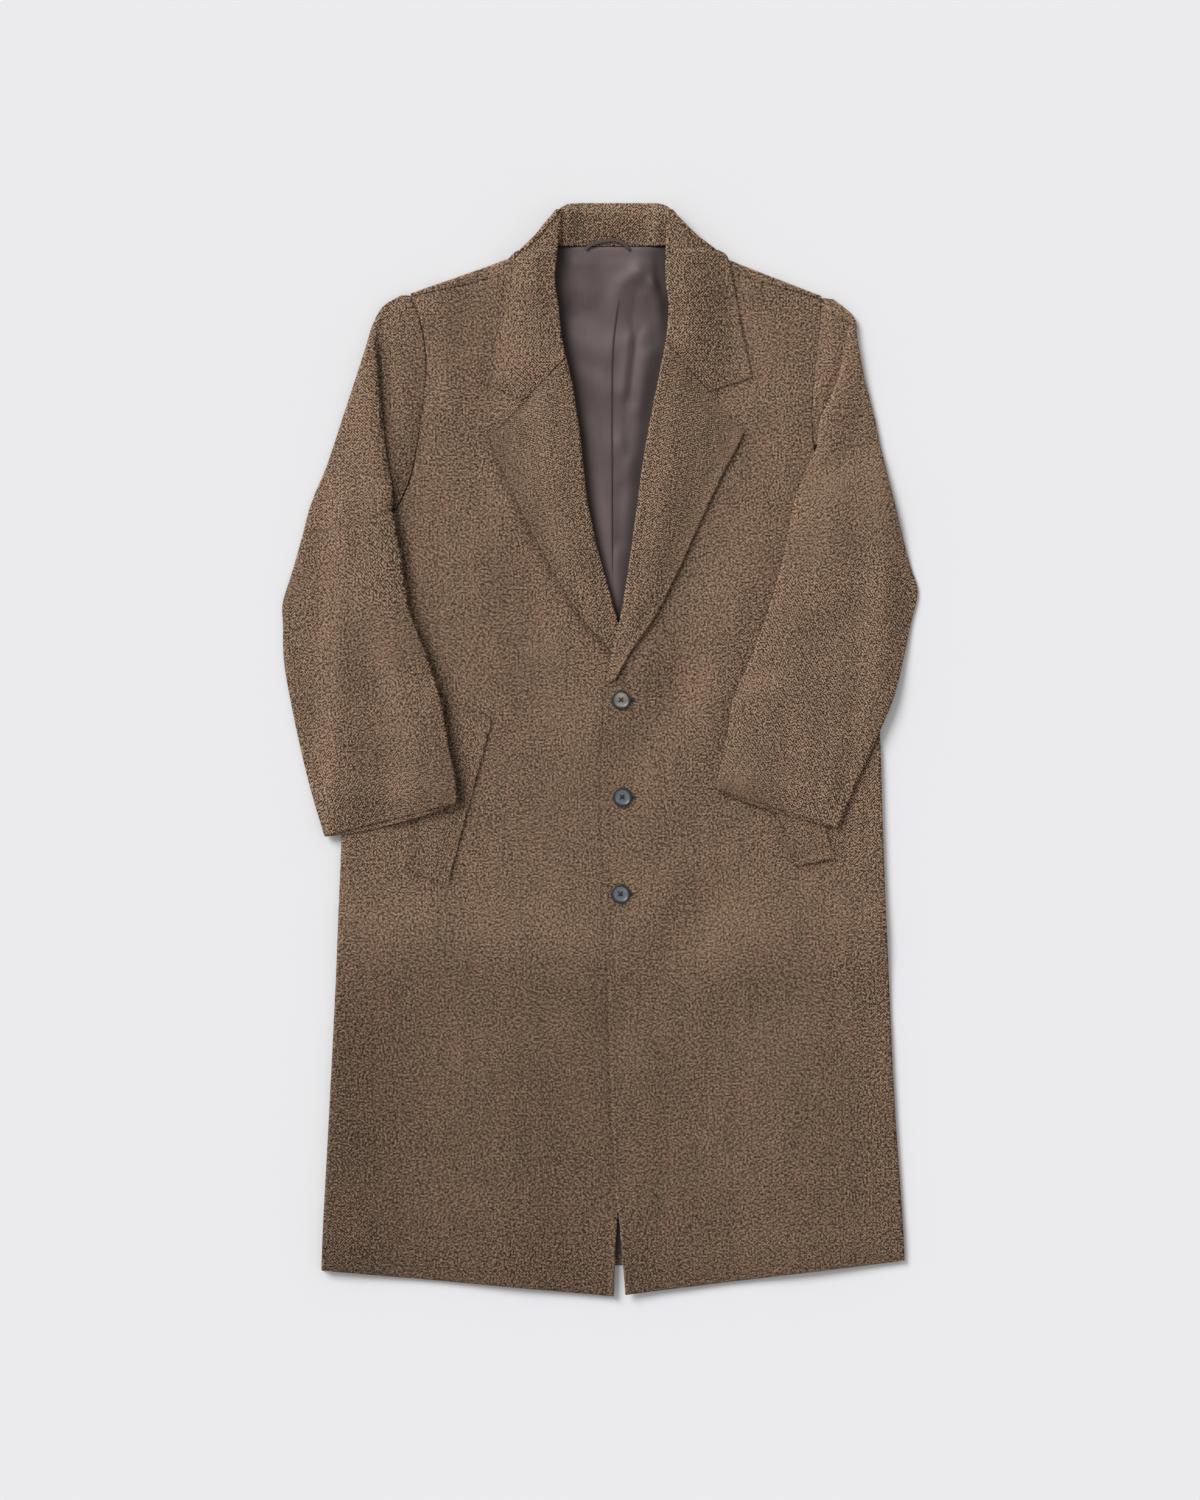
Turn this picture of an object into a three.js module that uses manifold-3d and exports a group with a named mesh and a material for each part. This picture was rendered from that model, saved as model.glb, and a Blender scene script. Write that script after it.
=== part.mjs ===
// A long single-breasted wool overcoat, laid flat on its back, with the sleeves folded down over the fronts.
// Millimetres. +X is to the right of someone looking down at the coat, +Y runs up to the collar, +Z is up.
// The origin lies on the floor under the middle of the coat's footprint.
// Left and right are as seen from above.
import * as THREE from "three";
import { mergeVertices } from "three/addons/utils/BufferGeometryUtils.js";
import Module from "manifold-3d";

const wasm = await Module();
wasm.setup();

// Driving sizes
const CLOTH = 2; // wall of the coating
const HALF = CLOTH / 2;
const LINING = 1; // wall of the lining
const SEAM = 0.3; // gap between two pieces that are sewn together
const LAYER = CLOTH + SEAM; // from the middle of one layer to the middle of the next
const BACK_Z = HALF; // the back lies on the floor
const LINING_Z = 3.08;
const FRONT_Z = 5.2;
const FOLD_R = (FRONT_Z - BACK_Z) / 2; // side and shoulder folds
const LIP_END = 0.24; // how far the edge of a fold stops short of the fold's middle
const SLEEVE_Z = 7.9; // under sleeve where it lies on a front
const SLEEVE_R = 1.7; // folds of a sleeve
const TUCK_AIR = 1.2; // air between the two sleeve pieces beside the underarm
const CLIMB = 34; // a sleeve comes down from the fronts to the floor over this width
const LEG = 14; // facing that runs on under a front, inside the lapel's roll
const LAPEL_EASE = 0.4; // air under a lapel or collar
const FACING_LIFT = 2.1; // a front rises this much beside the roll, over the facing that runs on under it
const ROLL_CLEAR = 0.9; // a front stops this far short of the inside of the roll
const LAP = { near: 5, far: 62 }; // past the left front's edge the right front comes down between these
const CENTRE_X = 16; // centre back seam
const ARM_EASE = 8; // the back's armhole is cut this much less deep than the front's
const UNDERARM_Y = 255;
const HEM_LINING_Y = -580;
const HEM_CENTRE_Y = -593;
const CENTRE_UNDERARM_Y = 300; // place on the centre back seam that is level with the underarm's row
const LINING_HALF = { left: 255, right: 250 }; // from the centre back seam to the lining's side seams
const PLEAT = { height: 0.4, x: -14, width: 16 }; // centre pleat of the lining, x from the centre back seam
const NECK_Y = 578; // back neck seam
const COLLAR_TOP_Y = 628;
const COLLAR_TOP_X = { left: -38, right: 71 }; // ends of the collar's roll behind the neck
const STAND_SPREAD = 0.28; // share by which the stand is wider at the neck seam than at the roll
const STAND_RISE = 1.2;
const TOP_BOW = 1.2; // the roll's ends lie this much lower than its middle
const FALL_SAG = 36; // the fall's outer edge bows down this much behind the neck, at a quarter of its width
const BUTTON_R = 11.5;
const BUTTON_THICK = 3.4;
const BUTTONS = {
  top: { x: 24, y: 57 },
  middle: { x: 25.5, y: -54.5 },
  bottom: { x: 23.5, y: -165.5 },
};

const WOOL = new THREE.MeshStandardMaterial({ color: 0x76614f, roughness: 0.92, metalness: 0 });
const SATIN = new THREE.MeshStandardMaterial({ color: 0x625555, roughness: 0.45, metalness: 0 });
const HORN = new THREE.MeshStandardMaterial({ color: 0x2b2c30, roughness: 0.35, metalness: 0 });

// Small helpers
const lerp = (a, b, t) => a + (b - a) * t;
const clamp = (t, lo = 0, hi = 1) => Math.min(hi, Math.max(lo, t));
const ramp = (value, from, to) => {
  const k = clamp((value - from) / (to - from));
  return k * k * (3 - 2 * k);
};
const steps = (count) => Array.from({ length: count + 1 }, (_, i) => i / count);

// Value of a column of a table at a fractional row, on a smooth curve through the rows.
function column(table, name, at) {
  const last = table.length - 1;
  const i = clamp(Math.floor(at), 0, last - 1);
  const [a, b, c, d] = [i - 1, i, i + 1, i + 2].map((k) => table[clamp(k, 0, last)][name]);
  const t = at - i;
  const slopes = (c - a) * t;
  const bend = (2 * a - 5 * b + 4 * c - d) * t * t;
  return 0.5 * (2 * b + slopes + bend + (3 * b - a - 3 * c + d) * t * t * t);
}

// Value of a column where another column, which only rises, has the given value.
function lookup(table, key, name, value) {
  const last = table.length - 1;
  if (value <= table[0][key]) return table[0][name];
  if (value >= table[last][key]) return table[last][name];
  const i = table.findIndex((row) => row[key] > value) - 1;
  return column(table, name, i + (value - table[i][key]) / (table[i + 1][key] - table[i][key]));
}

// A panel of cloth: grids of points on the middle of its wall, joined where they share points.
class Panel {
  constructor() {
    this.points = [];
    this.index = new Map();
    this.quads = [];
  }

  vertex(p) {
    const key = p.map((v) => Math.round(v * 500)).join();
    if (!this.index.has(key)) this.index.set(key, this.points.push(new THREE.Vector3(...p)) - 1);
    return this.index.get(key);
  }

  // rows is a list of rows of points, each with as many points; mirrored turns the faces round.
  grid(rows, mirrored = false) {
    const ids = rows.map((row) => row.map((p) => this.vertex(p)));
    for (let j = 0; j + 1 < ids.length; j++)
      for (let i = 0; i + 1 < ids[j].length; i++) {
        const quad = [ids[j][i], ids[j][i + 1], ids[j + 1][i + 1], ids[j + 1][i]];
        this.quads.push(mirrored ? quad.reverse() : quad);
      }
    return this;
  }

  normals() {
    const normals = this.points.map(() => new THREE.Vector3());
    for (const q of this.quads)
      q.forEach((id, k) => {
        const ahead = this.points[q[(k + 1) % 4]].clone().sub(this.points[id]);
        const behind = this.points[q[(k + 3) % 4]].clone().sub(this.points[id]);
        const across = ahead.cross(behind);
        if (across.lengthSq() > 1e-12) normals[id].add(across.normalize());
      });
    return normals.map((n) => n.normalize());
  }

  // Both faces lie half the wall from the middle, and edges that only one quad uses are closed.
  solid(wall) {
    const count = this.points.length;
    const normals = this.normals();
    const out = [];
    for (const offset of [wall / 2, -wall / 2])
      this.points.forEach((p, id) => out.push(...p.clone().addScaledVector(normals[id], offset)));
    const faces = [];
    const triangle = (a, b, c) => {
      if (a !== b && b !== c && c !== a) faces.push(a, b, c);
    };
    const edges = new Map();
    for (const [a, b, c, d] of this.quads) {
      triangle(a, b, c);
      triangle(a, c, d);
      triangle(a + count, c + count, b + count);
      triangle(a + count, d + count, c + count);
      for (const [from, to] of [[a, b], [b, c], [c, d], [d, a]])
        if (from !== to) edges.set(from + "," + to, [from, to]);
    }
    for (const [from, to] of edges.values())
      if (!edges.has(to + "," + from)) {
        triangle(to, from, from + count);
        triangle(to, from + count, to + count);
      }
    const g = new THREE.BufferGeometry();
    g.setAttribute("position", new THREE.Float32BufferAttribute(out, 3));
    g.setIndex(faces);
    return g;
  }
}

// Body side, from hem to underarm, and armhole seam, from underarm to shoulder.
const SIDE = {
  left: [
    { y: -598, x: -320 },
    { y: -402, x: -310.5 },
    { y: -264, x: -303.5 },
    { y: -103, x: -297 },
    { y: 60, x: -289 },
    { y: UNDERARM_Y, x: -280.5 },
  ],
  right: [
    { y: -587, x: 350 },
    { y: -402, x: 338.5 },
    { y: -264, x: 332 },
    { y: -103, x: 325.5 },
    { y: 11, x: 322 },
    { y: UNDERARM_Y, x: 316 },
  ],
};
const ARMHOLE = {
  left: [
    { x: -280.5, y: UNDERARM_Y },
    { x: -243, y: 266 },
    { x: -218.5, y: 310 },
    { x: -206, y: 374 },
    { x: -199.5, y: 434 },
    { x: -204, y: 482 },
    { x: -217, y: 521 },
  ],
  right: [
    { x: 316, y: UNDERARM_Y },
    { x: 281, y: 271 },
    { x: 253, y: 315 },
    { x: 243.5, y: 368 },
    { x: 244.5, y: 420 },
    { x: 251, y: 474 },
    { x: 254, y: 518 },
  ],
};
// Shares of the way from hem to underarm, and of the armhole, at which the rows of the panels lie.
const BACK_ROWS = [0, 0.2, 0.4, 0.6, 0.8, 0.93, 1];
const FRONT_ROWS = [0, 0.14, 0.28, 0.42, 0.55, 0.66, 0.74, 0.77, 0.79, 0.805, 0.82];
FRONT_ROWS.push(0.85, 0.88, 0.91, 0.94, 0.97, 1);
const ARM_ROWS = [0, 0.08, 0.15, 0.22, 0.29, 0.36, 0.44, 0.52, 0.61, 0.71, 0.81, 0.91, 1];

// Front edge, and above the top button the roll line of lapel and collar.
const EDGE = {
  left: [
    { y: -628, x: 16 },
    { y: -532, x: 20.7 },
    { y: -345, x: 34.5 },
    { y: -172, x: 46 },
    { y: -11, x: 47.2 },
    { y: 57, x: 44.5 },
    { y: 110, x: 31 },
    { y: 151, x: 19.6 },
    { y: 198, x: 6.3 },
    { y: 237, x: -4.6 },
    { y: 290, x: -15 },
    { y: 364, x: -23 },
    { y: 417, x: -31 },
    { y: 449, x: -38.5 },
    { y: 473, x: -43.7 },
    { y: 512, x: -47.8 },
    { y: 538, x: -51.5 },
    { y: 580, x: -47.8 },
    { y: 622, x: -43.7 },
  ],
  right: [
    { y: -626, x: 29 },
    { y: -581, x: 25.3 },
    { y: -540, x: 21.9 },
    { y: -504, x: 17.3 },
    { y: -402, x: 12.7 },
    { y: -287, x: 9.2 },
    { y: -122, x: 3.5 },
    { y: -11, x: 1.7 },
    { y: 69, x: 7 },
    { y: 113, x: 13.8 },
    { y: 145, x: 21.9 },
    { y: 190, x: 29.9 },
    { y: 229, x: 35.7 },
    { y: 285, x: 43.2 },
    { y: 343, x: 51.2 },
    { y: 401, x: 61.8 },
    { y: 446, x: 71 },
    { y: 477, x: 76.5 },
    { y: 512, x: 78.5 },
    { y: 538, x: 75 },
    { y: 578, x: 75.4 },
    { y: 622, x: 76.5 },
  ],
};
const HEM_EDGE_Y = { left: -628, right: -626 };
const EDGE_UNDERARM_Y = { left: 262, right: 264 };
const GORGE_Y = { left: 449, right: 468 };

// Where the shoulder seam meets the neck, and the shoulder fold above it.
const NECK = {
  left: { seam: { x: -77, y: 552 }, fold: { x: -75, y: 574 } },
  right: { seam: { x: 112, y: 558 }, fold: { x: 112, y: 576 } },
};
// Outer edge of the collar's fall where it lies under the back.
const FALL_EDGE = [
  { x: -108, y: 561 },
  { x: -50, y: 553 },
  { x: 20, y: 551 },
  { x: 95, y: 553 },
  { x: 150, y: 562 },
];

const SIGN = { left: -1, right: 1 };
const edgeX = (side, y) => lookup(EDGE[side], "y", "x", y);
const sideX = (side, y) => lookup(SIDE[side], "y", "x", y);

// Point of the armhole, moved out from the body by a gap.
function armhole(side, t, gap = 0, ease = 0) {
  const table = ARMHOLE[side];
  const at = (k) => {
    const row = clamp(k) * (table.length - 1);
    return { x: column(table, "x", row), y: column(table, "y", row) };
  };
  const [before, here, after] = [at(t - 0.01), at(t), at(t + 0.01)];
  const run = Math.hypot(after.x - before.x, after.y - before.y);
  const away = gap + ease * Math.sin(clamp(t) * Math.PI);
  const out = { x: SIGN[side] * (after.y - before.y), y: -SIGN[side] * (after.x - before.x) };
  return { x: here.x + (out.x / run) * away, y: here.y + (out.y / run) * away };
}

// The collar's fall lies under the back's neck and lifts what lies on it, upper layers a little sooner.
function neckLift(x, y, lead) {
  const low = lookup(FALL_EDGE, "x", "y", x) - lead;
  const across = ramp(x, -136 - lead, -106 - lead) * (1 - ramp(x, 148 + lead, 178 + lead));
  return (LAYER + 0.1) * across * ramp(y, low - 42, low - 9);
}
const backZ = (x, y) => BACK_Z + neckLift(x, y, 0);
const liningZ = (x, y) => LINING_Z + neckLift(x, y, 13);

// How far the right front climbs over the left one, and over the end of the left lapel.
function overLeft(x, y) {
  const past = 1 - ramp(x, edgeX("left", y) + LAP.near, edgeX("left", y) + LAP.far);
  const lapelEnd = ramp(y, 66, 104) * (1 - ramp(y, 160, 240));
  return past * (1 - ramp(y, 170, 250)) * (LAYER + 0.2 + (LAYER + 0.3) * lapelEnd);
}
// A front rises near the roll, where the facing runs on under it.
function frontZ(side, x, y) {
  const facing = ramp(y, 190, 235) * (1 - ramp(y, GORGE_Y[side] - 10, GORGE_Y[side] + 40));
  const roll = FACING_LIFT * facing * (1 - ramp(Math.abs(x - edgeX(side, y)), 24, 56));
  const over = side === "right" ? overLeft(x, y) : 0;
  return FRONT_Z + roll + over + neckLift(x, y, 19);
}
const rollRadius = (side, y) => {
  const facing = ramp(y, 190, 235) * (1 - ramp(y, GORGE_Y[side] + 10, GORGE_Y[side] + 40));
  return lerp(LAYER / 2, LAYER, facing) + LAPEL_EASE / 2;
};

// Where a front's own cloth ends: at the front edge, inside the lapel's roll, at the neck seam.
function frontEnd(side, y) {
  const inset = ramp(y, 40, 75) * (HALF + rollRadius(side, y) + ROLL_CLEAR);
  const neck = ramp(y, GORGE_Y[side] - 8, NECK[side].seam.y);
  return { x: lerp(edgeX(side, y) + SIGN[side] * inset, NECK[side].seam.x, neck), y };
}

// A row across a panel: a lip that rounds the fold at its start, then points closer together near its end.
const LIP = [0, 10, 50, 90].map((deg) => (deg * Math.PI) / 180);
const NEAR_END = [92, 68, 48, 34, 22, 10, 0];
function acrossRow(start, end, heightAt, lip, towards, columns) {
  const row = [];
  const length = Math.hypot(end.x - start.x, end.y - start.y);
  const place = (run) => [lerp(start.x, end.x, run / length), lerp(start.y, end.y, run / length)];
  for (const turn of LIP) {
    const [x, y] = place(HALF * lip + FOLD_R * (1 - Math.cos(turn)));
    const drop = (FOLD_R - LIP_END) * (1 - Math.sin(turn)) * lip;
    row.push([x, y, heightAt(x, y) + towards * drop]);
  }
  const first = HALF * lip + FOLD_R;
  for (const run of columns(first, length)) {
    const [x, y] = place(run);
    row.push([x, y, heightAt(x, y)]);
  }
  return row;
}
// Columns that crowd towards the end of the row, and even ones.
function crowded(first, length) {
  const near = Math.min(NEAR_END[0], (length - first) * 0.6);
  const far = [1 / 3, 2 / 3].map((t) => lerp(first, length - near, t));
  return [...far, ...NEAR_END.map((d) => length - (d * near) / NEAR_END[0])];
}
const even = (first, length) => steps(5).slice(1).map((t) => lerp(first, length, t));

// Side ends of the rows of a front or back, from hem to shoulder.
function sideEnds(side, shares, ease) {
  const body = shares.map((t) => {
    const y = lerp(SIDE[side][0].y, UNDERARM_Y, t);
    return { x: sideX(side, y), y, lip: t < 1 ? 1 : 0, t };
  });
  const arm = ARM_ROWS.slice(1).map((t) => ({ ...armhole(side, t, 0, ease), lip: 0, t: 1 + t }));
  return [...body, ...arm];
}

// Height of the shoulder seam at a place along it.
function shoulderSeamY(side, x) {
  const from = armhole(side, 1);
  const to = NECK[side].seam;
  return lerp(from.y - 1, to.y, clamp((x - from.x) / (to.x - from.x)));
}

function front(side) {
  const rows = sideEnds(side, FRONT_ROWS, 0).map((start) => {
    const top = start.t - 1;
    const low = lerp(HEM_EDGE_Y[side], EDGE_UNDERARM_Y[side], start.t);
    const y = top > 0 ? lerp(EDGE_UNDERARM_Y[side], NECK[side].seam.y, top) : low;
    return acrossRow(start, frontEnd(side, y), (px, py) => frontZ(side, px, py), start.lip, -1, crowded);
  });
  rows[rows.length - 1].forEach((p) => {
    p[1] = shoulderSeamY(side, p[0]) - 2 * SEAM;
  });
  return new Panel().grid(rows, side === "right").solid(CLOTH);
}

const INNER_COLUMNS = 3;
// A back half, with the strip that rolls over the shoulder to the seam on the front.
function back(side) {
  const centre = CENTRE_X + (SIGN[side] * SEAM) / 2;
  const neck = NECK[side].fold;
  const starts = sideEnds(side, BACK_ROWS, ARM_EASE);
  const rows = starts.map((start) => {
    const top = Math.max(0, start.t - 1);
    const below = lerp(HEM_CENTRE_Y, CENTRE_UNDERARM_Y, start.t);
    const centreY = top > 0 ? lerp(CENTRE_UNDERARM_Y, NECK_Y - SEAM, top) : below;
    const share = Math.abs(neck.x - centre) / Math.abs(starts[starts.length - 1].x - centre);
    const knee = {
      x: lerp(lerp(centre, start.x, share), neck.x, ramp(top, 0.3, 1)),
      y: lerp(lerp(centreY, start.y, share), neck.y - HALF - FOLD_R, ramp(top, 0.3, 1)),
    };
    const inner = steps(INNER_COLUMNS).slice(1).map((k) => {
      const [x, y] = [lerp(knee.x, centre, k), lerp(knee.y, centreY, k)];
      return [x, y, backZ(x, y)];
    });
    return [...acrossRow(start, knee, backZ, start.lip, 1, even), ...inner];
  });
  const panel = new Panel().grid(rows, side === "right");
  const top = rows[rows.length - 1].slice(0, -INNER_COLUMNS);
  const roll = steps(5).map((k) => {
    const [ahead, up] = [FOLD_R * Math.sin(k * Math.PI), FOLD_R * (1 - Math.cos(k * Math.PI))];
    return top.map(([x, y, z]) => [x, y + ahead, z + up]);
  });
  const seam = top.map(([x, y, z]) => [x, Math.min(shoulderSeamY(side, x), y - 0.6), z + 2 * FOLD_R]);
  return panel.grid([...roll, seam], side === "right").solid(CLOTH);
}

// Levels of the lining's rows, closer together where the collar's fall lifts it.
const LINING_LEVELS = [HEM_LINING_Y, -380, -180, 20, 160, 240, 300, 360, 420, 470];
LINING_LEVELS.push(500, 512, 524, 536, 548, 560, NECK_Y - 2 * SEAM);

// The lining of the back, with its centre pleat, narrower past the armholes and the shoulders.
function backLining() {
  const rows = LINING_LEVELS.map((y) => {
    const wide = 1 - 0.36 * ramp(y, 230, 420) - 0.3 * ramp(y, 470, 560);
    return steps(10).map((k) => {
      const u = k * 2 - 1;
      const x = CENTRE_X + u * (u < 0 ? LINING_HALF.left : LINING_HALF.right) * wide;
      const off = (x - CENTRE_X - PLEAT.x) / PLEAT.width;
      const pleat = PLEAT.height * Math.exp(-off * off) * (1 - ramp(y, 470, 520));
      return [x, y, liningZ(x, y) + pleat];
    });
  });
  return new Panel().grid(rows).solid(LINING);
}

// Lapel: rows from the gorge to the lower end, each from the roll to the lapel's outer edge.
const LAPEL = {
  left: [
    { rollY: 449, x: -127, y: 361 },
    { rollY: 415, x: -121, y: 344 },
    { rollY: 370, x: -111, y: 320 },
    { rollY: 320, x: -97, y: 291 },
    { rollY: 270, x: -81, y: 257 },
    { rollY: 225, x: -62, y: 222 },
    { rollY: 190, x: -43, y: 188 },
    { rollY: 152, x: -20, y: 151 },
    { rollY: 128, x: 1, y: 127 },
    { rollY: 108, x: 18, y: 107 },
  ],
  right: [
    { rollY: 468, x: 164.5, y: 364 },
    { rollY: 425, x: 157, y: 346 },
    { rollY: 380, x: 145, y: 325 },
    { rollY: 325, x: 130, y: 293 },
    { rollY: 275, x: 114, y: 259 },
    { rollY: 225, x: 97, y: 221 },
    { rollY: 180, x: 78, y: 181 },
    { rollY: 145, x: 59, y: 146 },
    { rollY: 112, x: 36, y: 113 },
    { rollY: 78, x: 17, y: 79 },
  ],
};

const ROLLED_ROWS = 15; // steps along a lapel or the collar's fall
const LAPEL_COLUMNS = 6;
const STUB = 0.4; // shortest leg under a roll

// A row across a rolled edge: the leg under the roll, the turn, then the cloth that lies on top.
function rolledRow(edge, outer, bend, count, heightAt, radius, leg) {
  const length = Math.hypot(outer.x - edge.x, outer.y - edge.y);
  const place = (run) => [
    lerp(edge.x, outer.x, run / length),
    lerp(edge.y, outer.y, run / length) + bend * (1 - Math.abs((2 * run) / length - 1)),
  ];
  const start = HALF + radius;
  const top = heightAt(...place(start));
  const low = top - 2 * radius;
  const row = [1, 0.5].map((k) => [...place(start + k * (STUB + leg)), low]);
  for (const t of steps(5)) {
    const turn = t * Math.PI;
    row.push([...place(start - radius * Math.sin(turn)), low + radius * (1 - Math.cos(turn))]);
  }
  for (const t of steps(count).slice(1)) {
    const [x, y] = place(t < 0.5 ? lerp(start, length / 2, t * 2) : length * t);
    row.push([x, y, heightAt(x, y)]);
  }
  return row;
}

const RADIUS_LEAD = 4.5; // a lapel's roll tightens this much above the place where the front's does
function lapel(side) {
  const table = LAPEL[side];
  const height = (x, y) => frontZ(side, x, y) + LAYER + LAPEL_EASE;
  const rows = steps(ROLLED_ROWS).map((t) => {
    const at = t * (table.length - 1);
    const y = column(table, "rollY", at);
    const outer = { x: column(table, "x", at), y: column(table, "y", at) };
    const leg = LEG * ramp(y, 238, 275);
    const radius = rollRadius(side, y - RADIUS_LEAD);
    return rolledRow({ x: edgeX(side, y), y }, outer, 0, LAPEL_COLUMNS, height, radius, leg);
  });
  return new Panel().grid(rows, side === "left").solid(CLOTH);
}

// Collar: rows from the corner of the neck to the gorge, each from the roll to the outer edge.
// The first rows end at the fold where the collar goes under; bend bows the middle of the last rows down.
const COLLAR = {
  left: [
    { rollY: 611, x: -55.8, y: 611.5, bend: 0 },
    { rollY: 600, x: -65, y: 601, bend: 0 },
    { rollY: 588, x: -77, y: 586.5, bend: 0 },
    { rollY: 572, x: -92.5, y: 572, bend: 0 },
    { rollY: 556, x: -104.6, y: 560, bend: 0 },
    { rollY: 538, x: -113.8, y: 538, bend: 0 },
    { rollY: 517, x: -120, y: 508, bend: -2 },
    { rollY: 492, x: -124.8, y: 476.7, bend: -8 },
    { rollY: 471, x: -131, y: 449, bend: -20 },
    { rollY: 449, x: -138, y: 421.5, bend: 0 },
  ],
  right: [
    { rollY: 611, x: 88.6, y: 611.5, bend: 0 },
    { rollY: 600, x: 99, y: 601, bend: 0 },
    { rollY: 588, x: 112.7, y: 588, bend: 0 },
    { rollY: 572, x: 133.4, y: 572.7, bend: 0 },
    { rollY: 556, x: 146, y: 562.9, bend: 0 },
    { rollY: 540, x: 151.8, y: 538.8, bend: 0 },
    { rollY: 522, x: 157.6, y: 509, bend: -2 },
    { rollY: 502, x: 162.7, y: 480, bend: -9 },
    { rollY: 484, x: 168, y: 456, bend: -21 },
    { rollY: 468, x: 174.5, y: 426.6, bend: 0 },
  ],
};
const TURNED_ROWS = 6; // rows whose outer end is the fold
const COLLAR_COLUMNS = 5;
const TURN_STEPS = 6;
const LEG_CLEAR = 3.2; // gap that a leg of the collar keeps to the front's neck seam

// The part of the collar that lies on a front: rolled rows, and the turn down to the part under the back.
function fallOnFront(side) {
  const table = COLLAR[side];
  const last = table.length - 1;
  const tip = LAPEL[side][0];
  const height = (x, y) => frontZ(side, x, y) + LAYER + LAPEL_EASE;
  // The middle of the last row lies on the line from the roll to the lapel's tip.
  const rollX = edgeX(side, GORGE_Y[side]);
  const slope = (tip.y - GORGE_Y[side]) / (tip.x - rollX);
  const gorge = (slope * (table[last].x - rollX) - (table[last].y - GORGE_Y[side])) / 2;
  const rows = steps(ROLLED_ROWS).map((t) => {
    const at = t * last;
    const toGorge = lerp(table[last - 1].bend, gorge, at - last + 1);
    const bend = at > last - 1 ? toGorge : column(table, "bend", at);
    const y = column(table, "rollY", at) + 1;
    const edge = { x: edgeX(side, y), y };
    const outer = { x: column(table, "x", at), y: column(table, "y", at) + 1 };
    const seam = frontEnd(side, Math.min(y, NECK[side].seam.y)).x;
    const leg = clamp(Math.abs(seam - edge.x) * 0.6 - LEG_CLEAR, 0, LEG) * (1 - ramp(y, 560, 600));
    return rolledRow(edge, outer, bend, COLLAR_COLUMNS, height, (LAYER + LAPEL_EASE) / 2, leg);
  });
  const turned = rows.slice(0, TURNED_ROWS).map((row) => {
    const [x, y, z] = row[row.length - 1];
    const radius = (z - BACK_Z) / 2;
    const inner = x - SIGN[side] * (HALF + radius);
    const first = row.length - 1 - COLLAR_COLUMNS;
    for (const t of steps(COLLAR_COLUMNS).slice(1)) {
      const [px, py] = [lerp(row[first][0], inner, t), lerp(row[first][1], y, t)];
      row[first + t * COLLAR_COLUMNS] = [px, py, t < 1 ? height(px, py) : z];
    }
    return steps(TURN_STEPS).map((k) => {
      const turn = k * Math.PI;
      return [inner + SIGN[side] * radius * Math.sin(turn), y, z - radius * (1 - Math.cos(turn))];
    });
  });
  return { rows, turned };
}

function collar() {
  const panel = new Panel();
  const [left, right] = ["left", "right"].map((side) => {
    const { rows, turned } = fallOnFront(side);
    panel.grid(rows, side === "right").grid(turned, side === "right");
    const free = rows.slice(TURNED_ROWS, TURNED_ROWS + 2).map((row) => row[row.length - 1]);
    return [...turned.map((row) => row[row.length - 1]), ...free];
  });
  // The part under the back, the roll along the top and the stand.
  const rise = LAYER / 2;
  const topY = COLLAR_TOP_Y - HALF - rise;
  const columns = steps(10);
  const topRow = columns.map((k) => [
    lerp(COLLAR_TOP_X.left, COLLAR_TOP_X.right, k),
    topY - TOP_BOW * (2 * k - 1) ** 4,
    BACK_Z,
  ]);
  const fall = left.map((a, i) => {
    const b = right[i];
    const sag = FALL_SAG * (i / (left.length - 1)) ** 2;
    return columns.map((k) => [lerp(a[0], b[0], k), lerp(a[1], b[1], k) - sag * k * (1 - k), BACK_Z]);
  });
  const turn = steps(TURN_STEPS).map((t) => {
    const [ahead, up] = [rise * Math.sin(t * Math.PI), rise * (1 - Math.cos(t * Math.PI))];
    return topRow.map(([x, y]) => [x, y + ahead, BACK_Z + up]);
  });
  const stand = steps(4).map((t) => {
    const wide = 1 + STAND_SPREAD * t;
    const z = BACK_Z + LAYER + STAND_RISE * ramp(t, 0.3, 1);
    return topRow.map(([x, y]) => [CENTRE_X + (x - CENTRE_X) * wide, lerp(y, NECK_Y + SEAM, t), z]);
  });
  panel.grid([topRow, ...fall]).grid(turn, true).grid(stand, true);
  return panel.solid(CLOTH);
}

// Welts of the pockets, from the upper short end to the lower one.
const WELT = {
  left: {
    top: [{ x: -176, y: 50 }, { x: -124.2, y: 33.9 }],
    low: [{ x: -220.8, y: -136.3 }, { x: -174.8, y: -155.8 }],
  },
  right: {
    top: [{ x: 167.9, y: 43.1 }, { x: 212.8, y: 56.9 }],
    low: [{ x: 224.3, y: -134 }, { x: 269.1, y: -124.8 }],
  },
};

function welt(side) {
  const { top, low } = WELT[side];
  const rows = steps(4).map((t) =>
    steps(2).map((k) => {
      const x = lerp(lerp(top[0].x, top[1].x, k), lerp(low[0].x, low[1].x, k), t);
      const y = lerp(lerp(top[0].y, top[1].y, k), lerp(low[0].y, low[1].y, k), t);
      return [x, y, frontZ(side, x, y) + LAYER];
    }),
  );
  return new Panel().grid(rows).solid(CLOTH);
}

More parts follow.
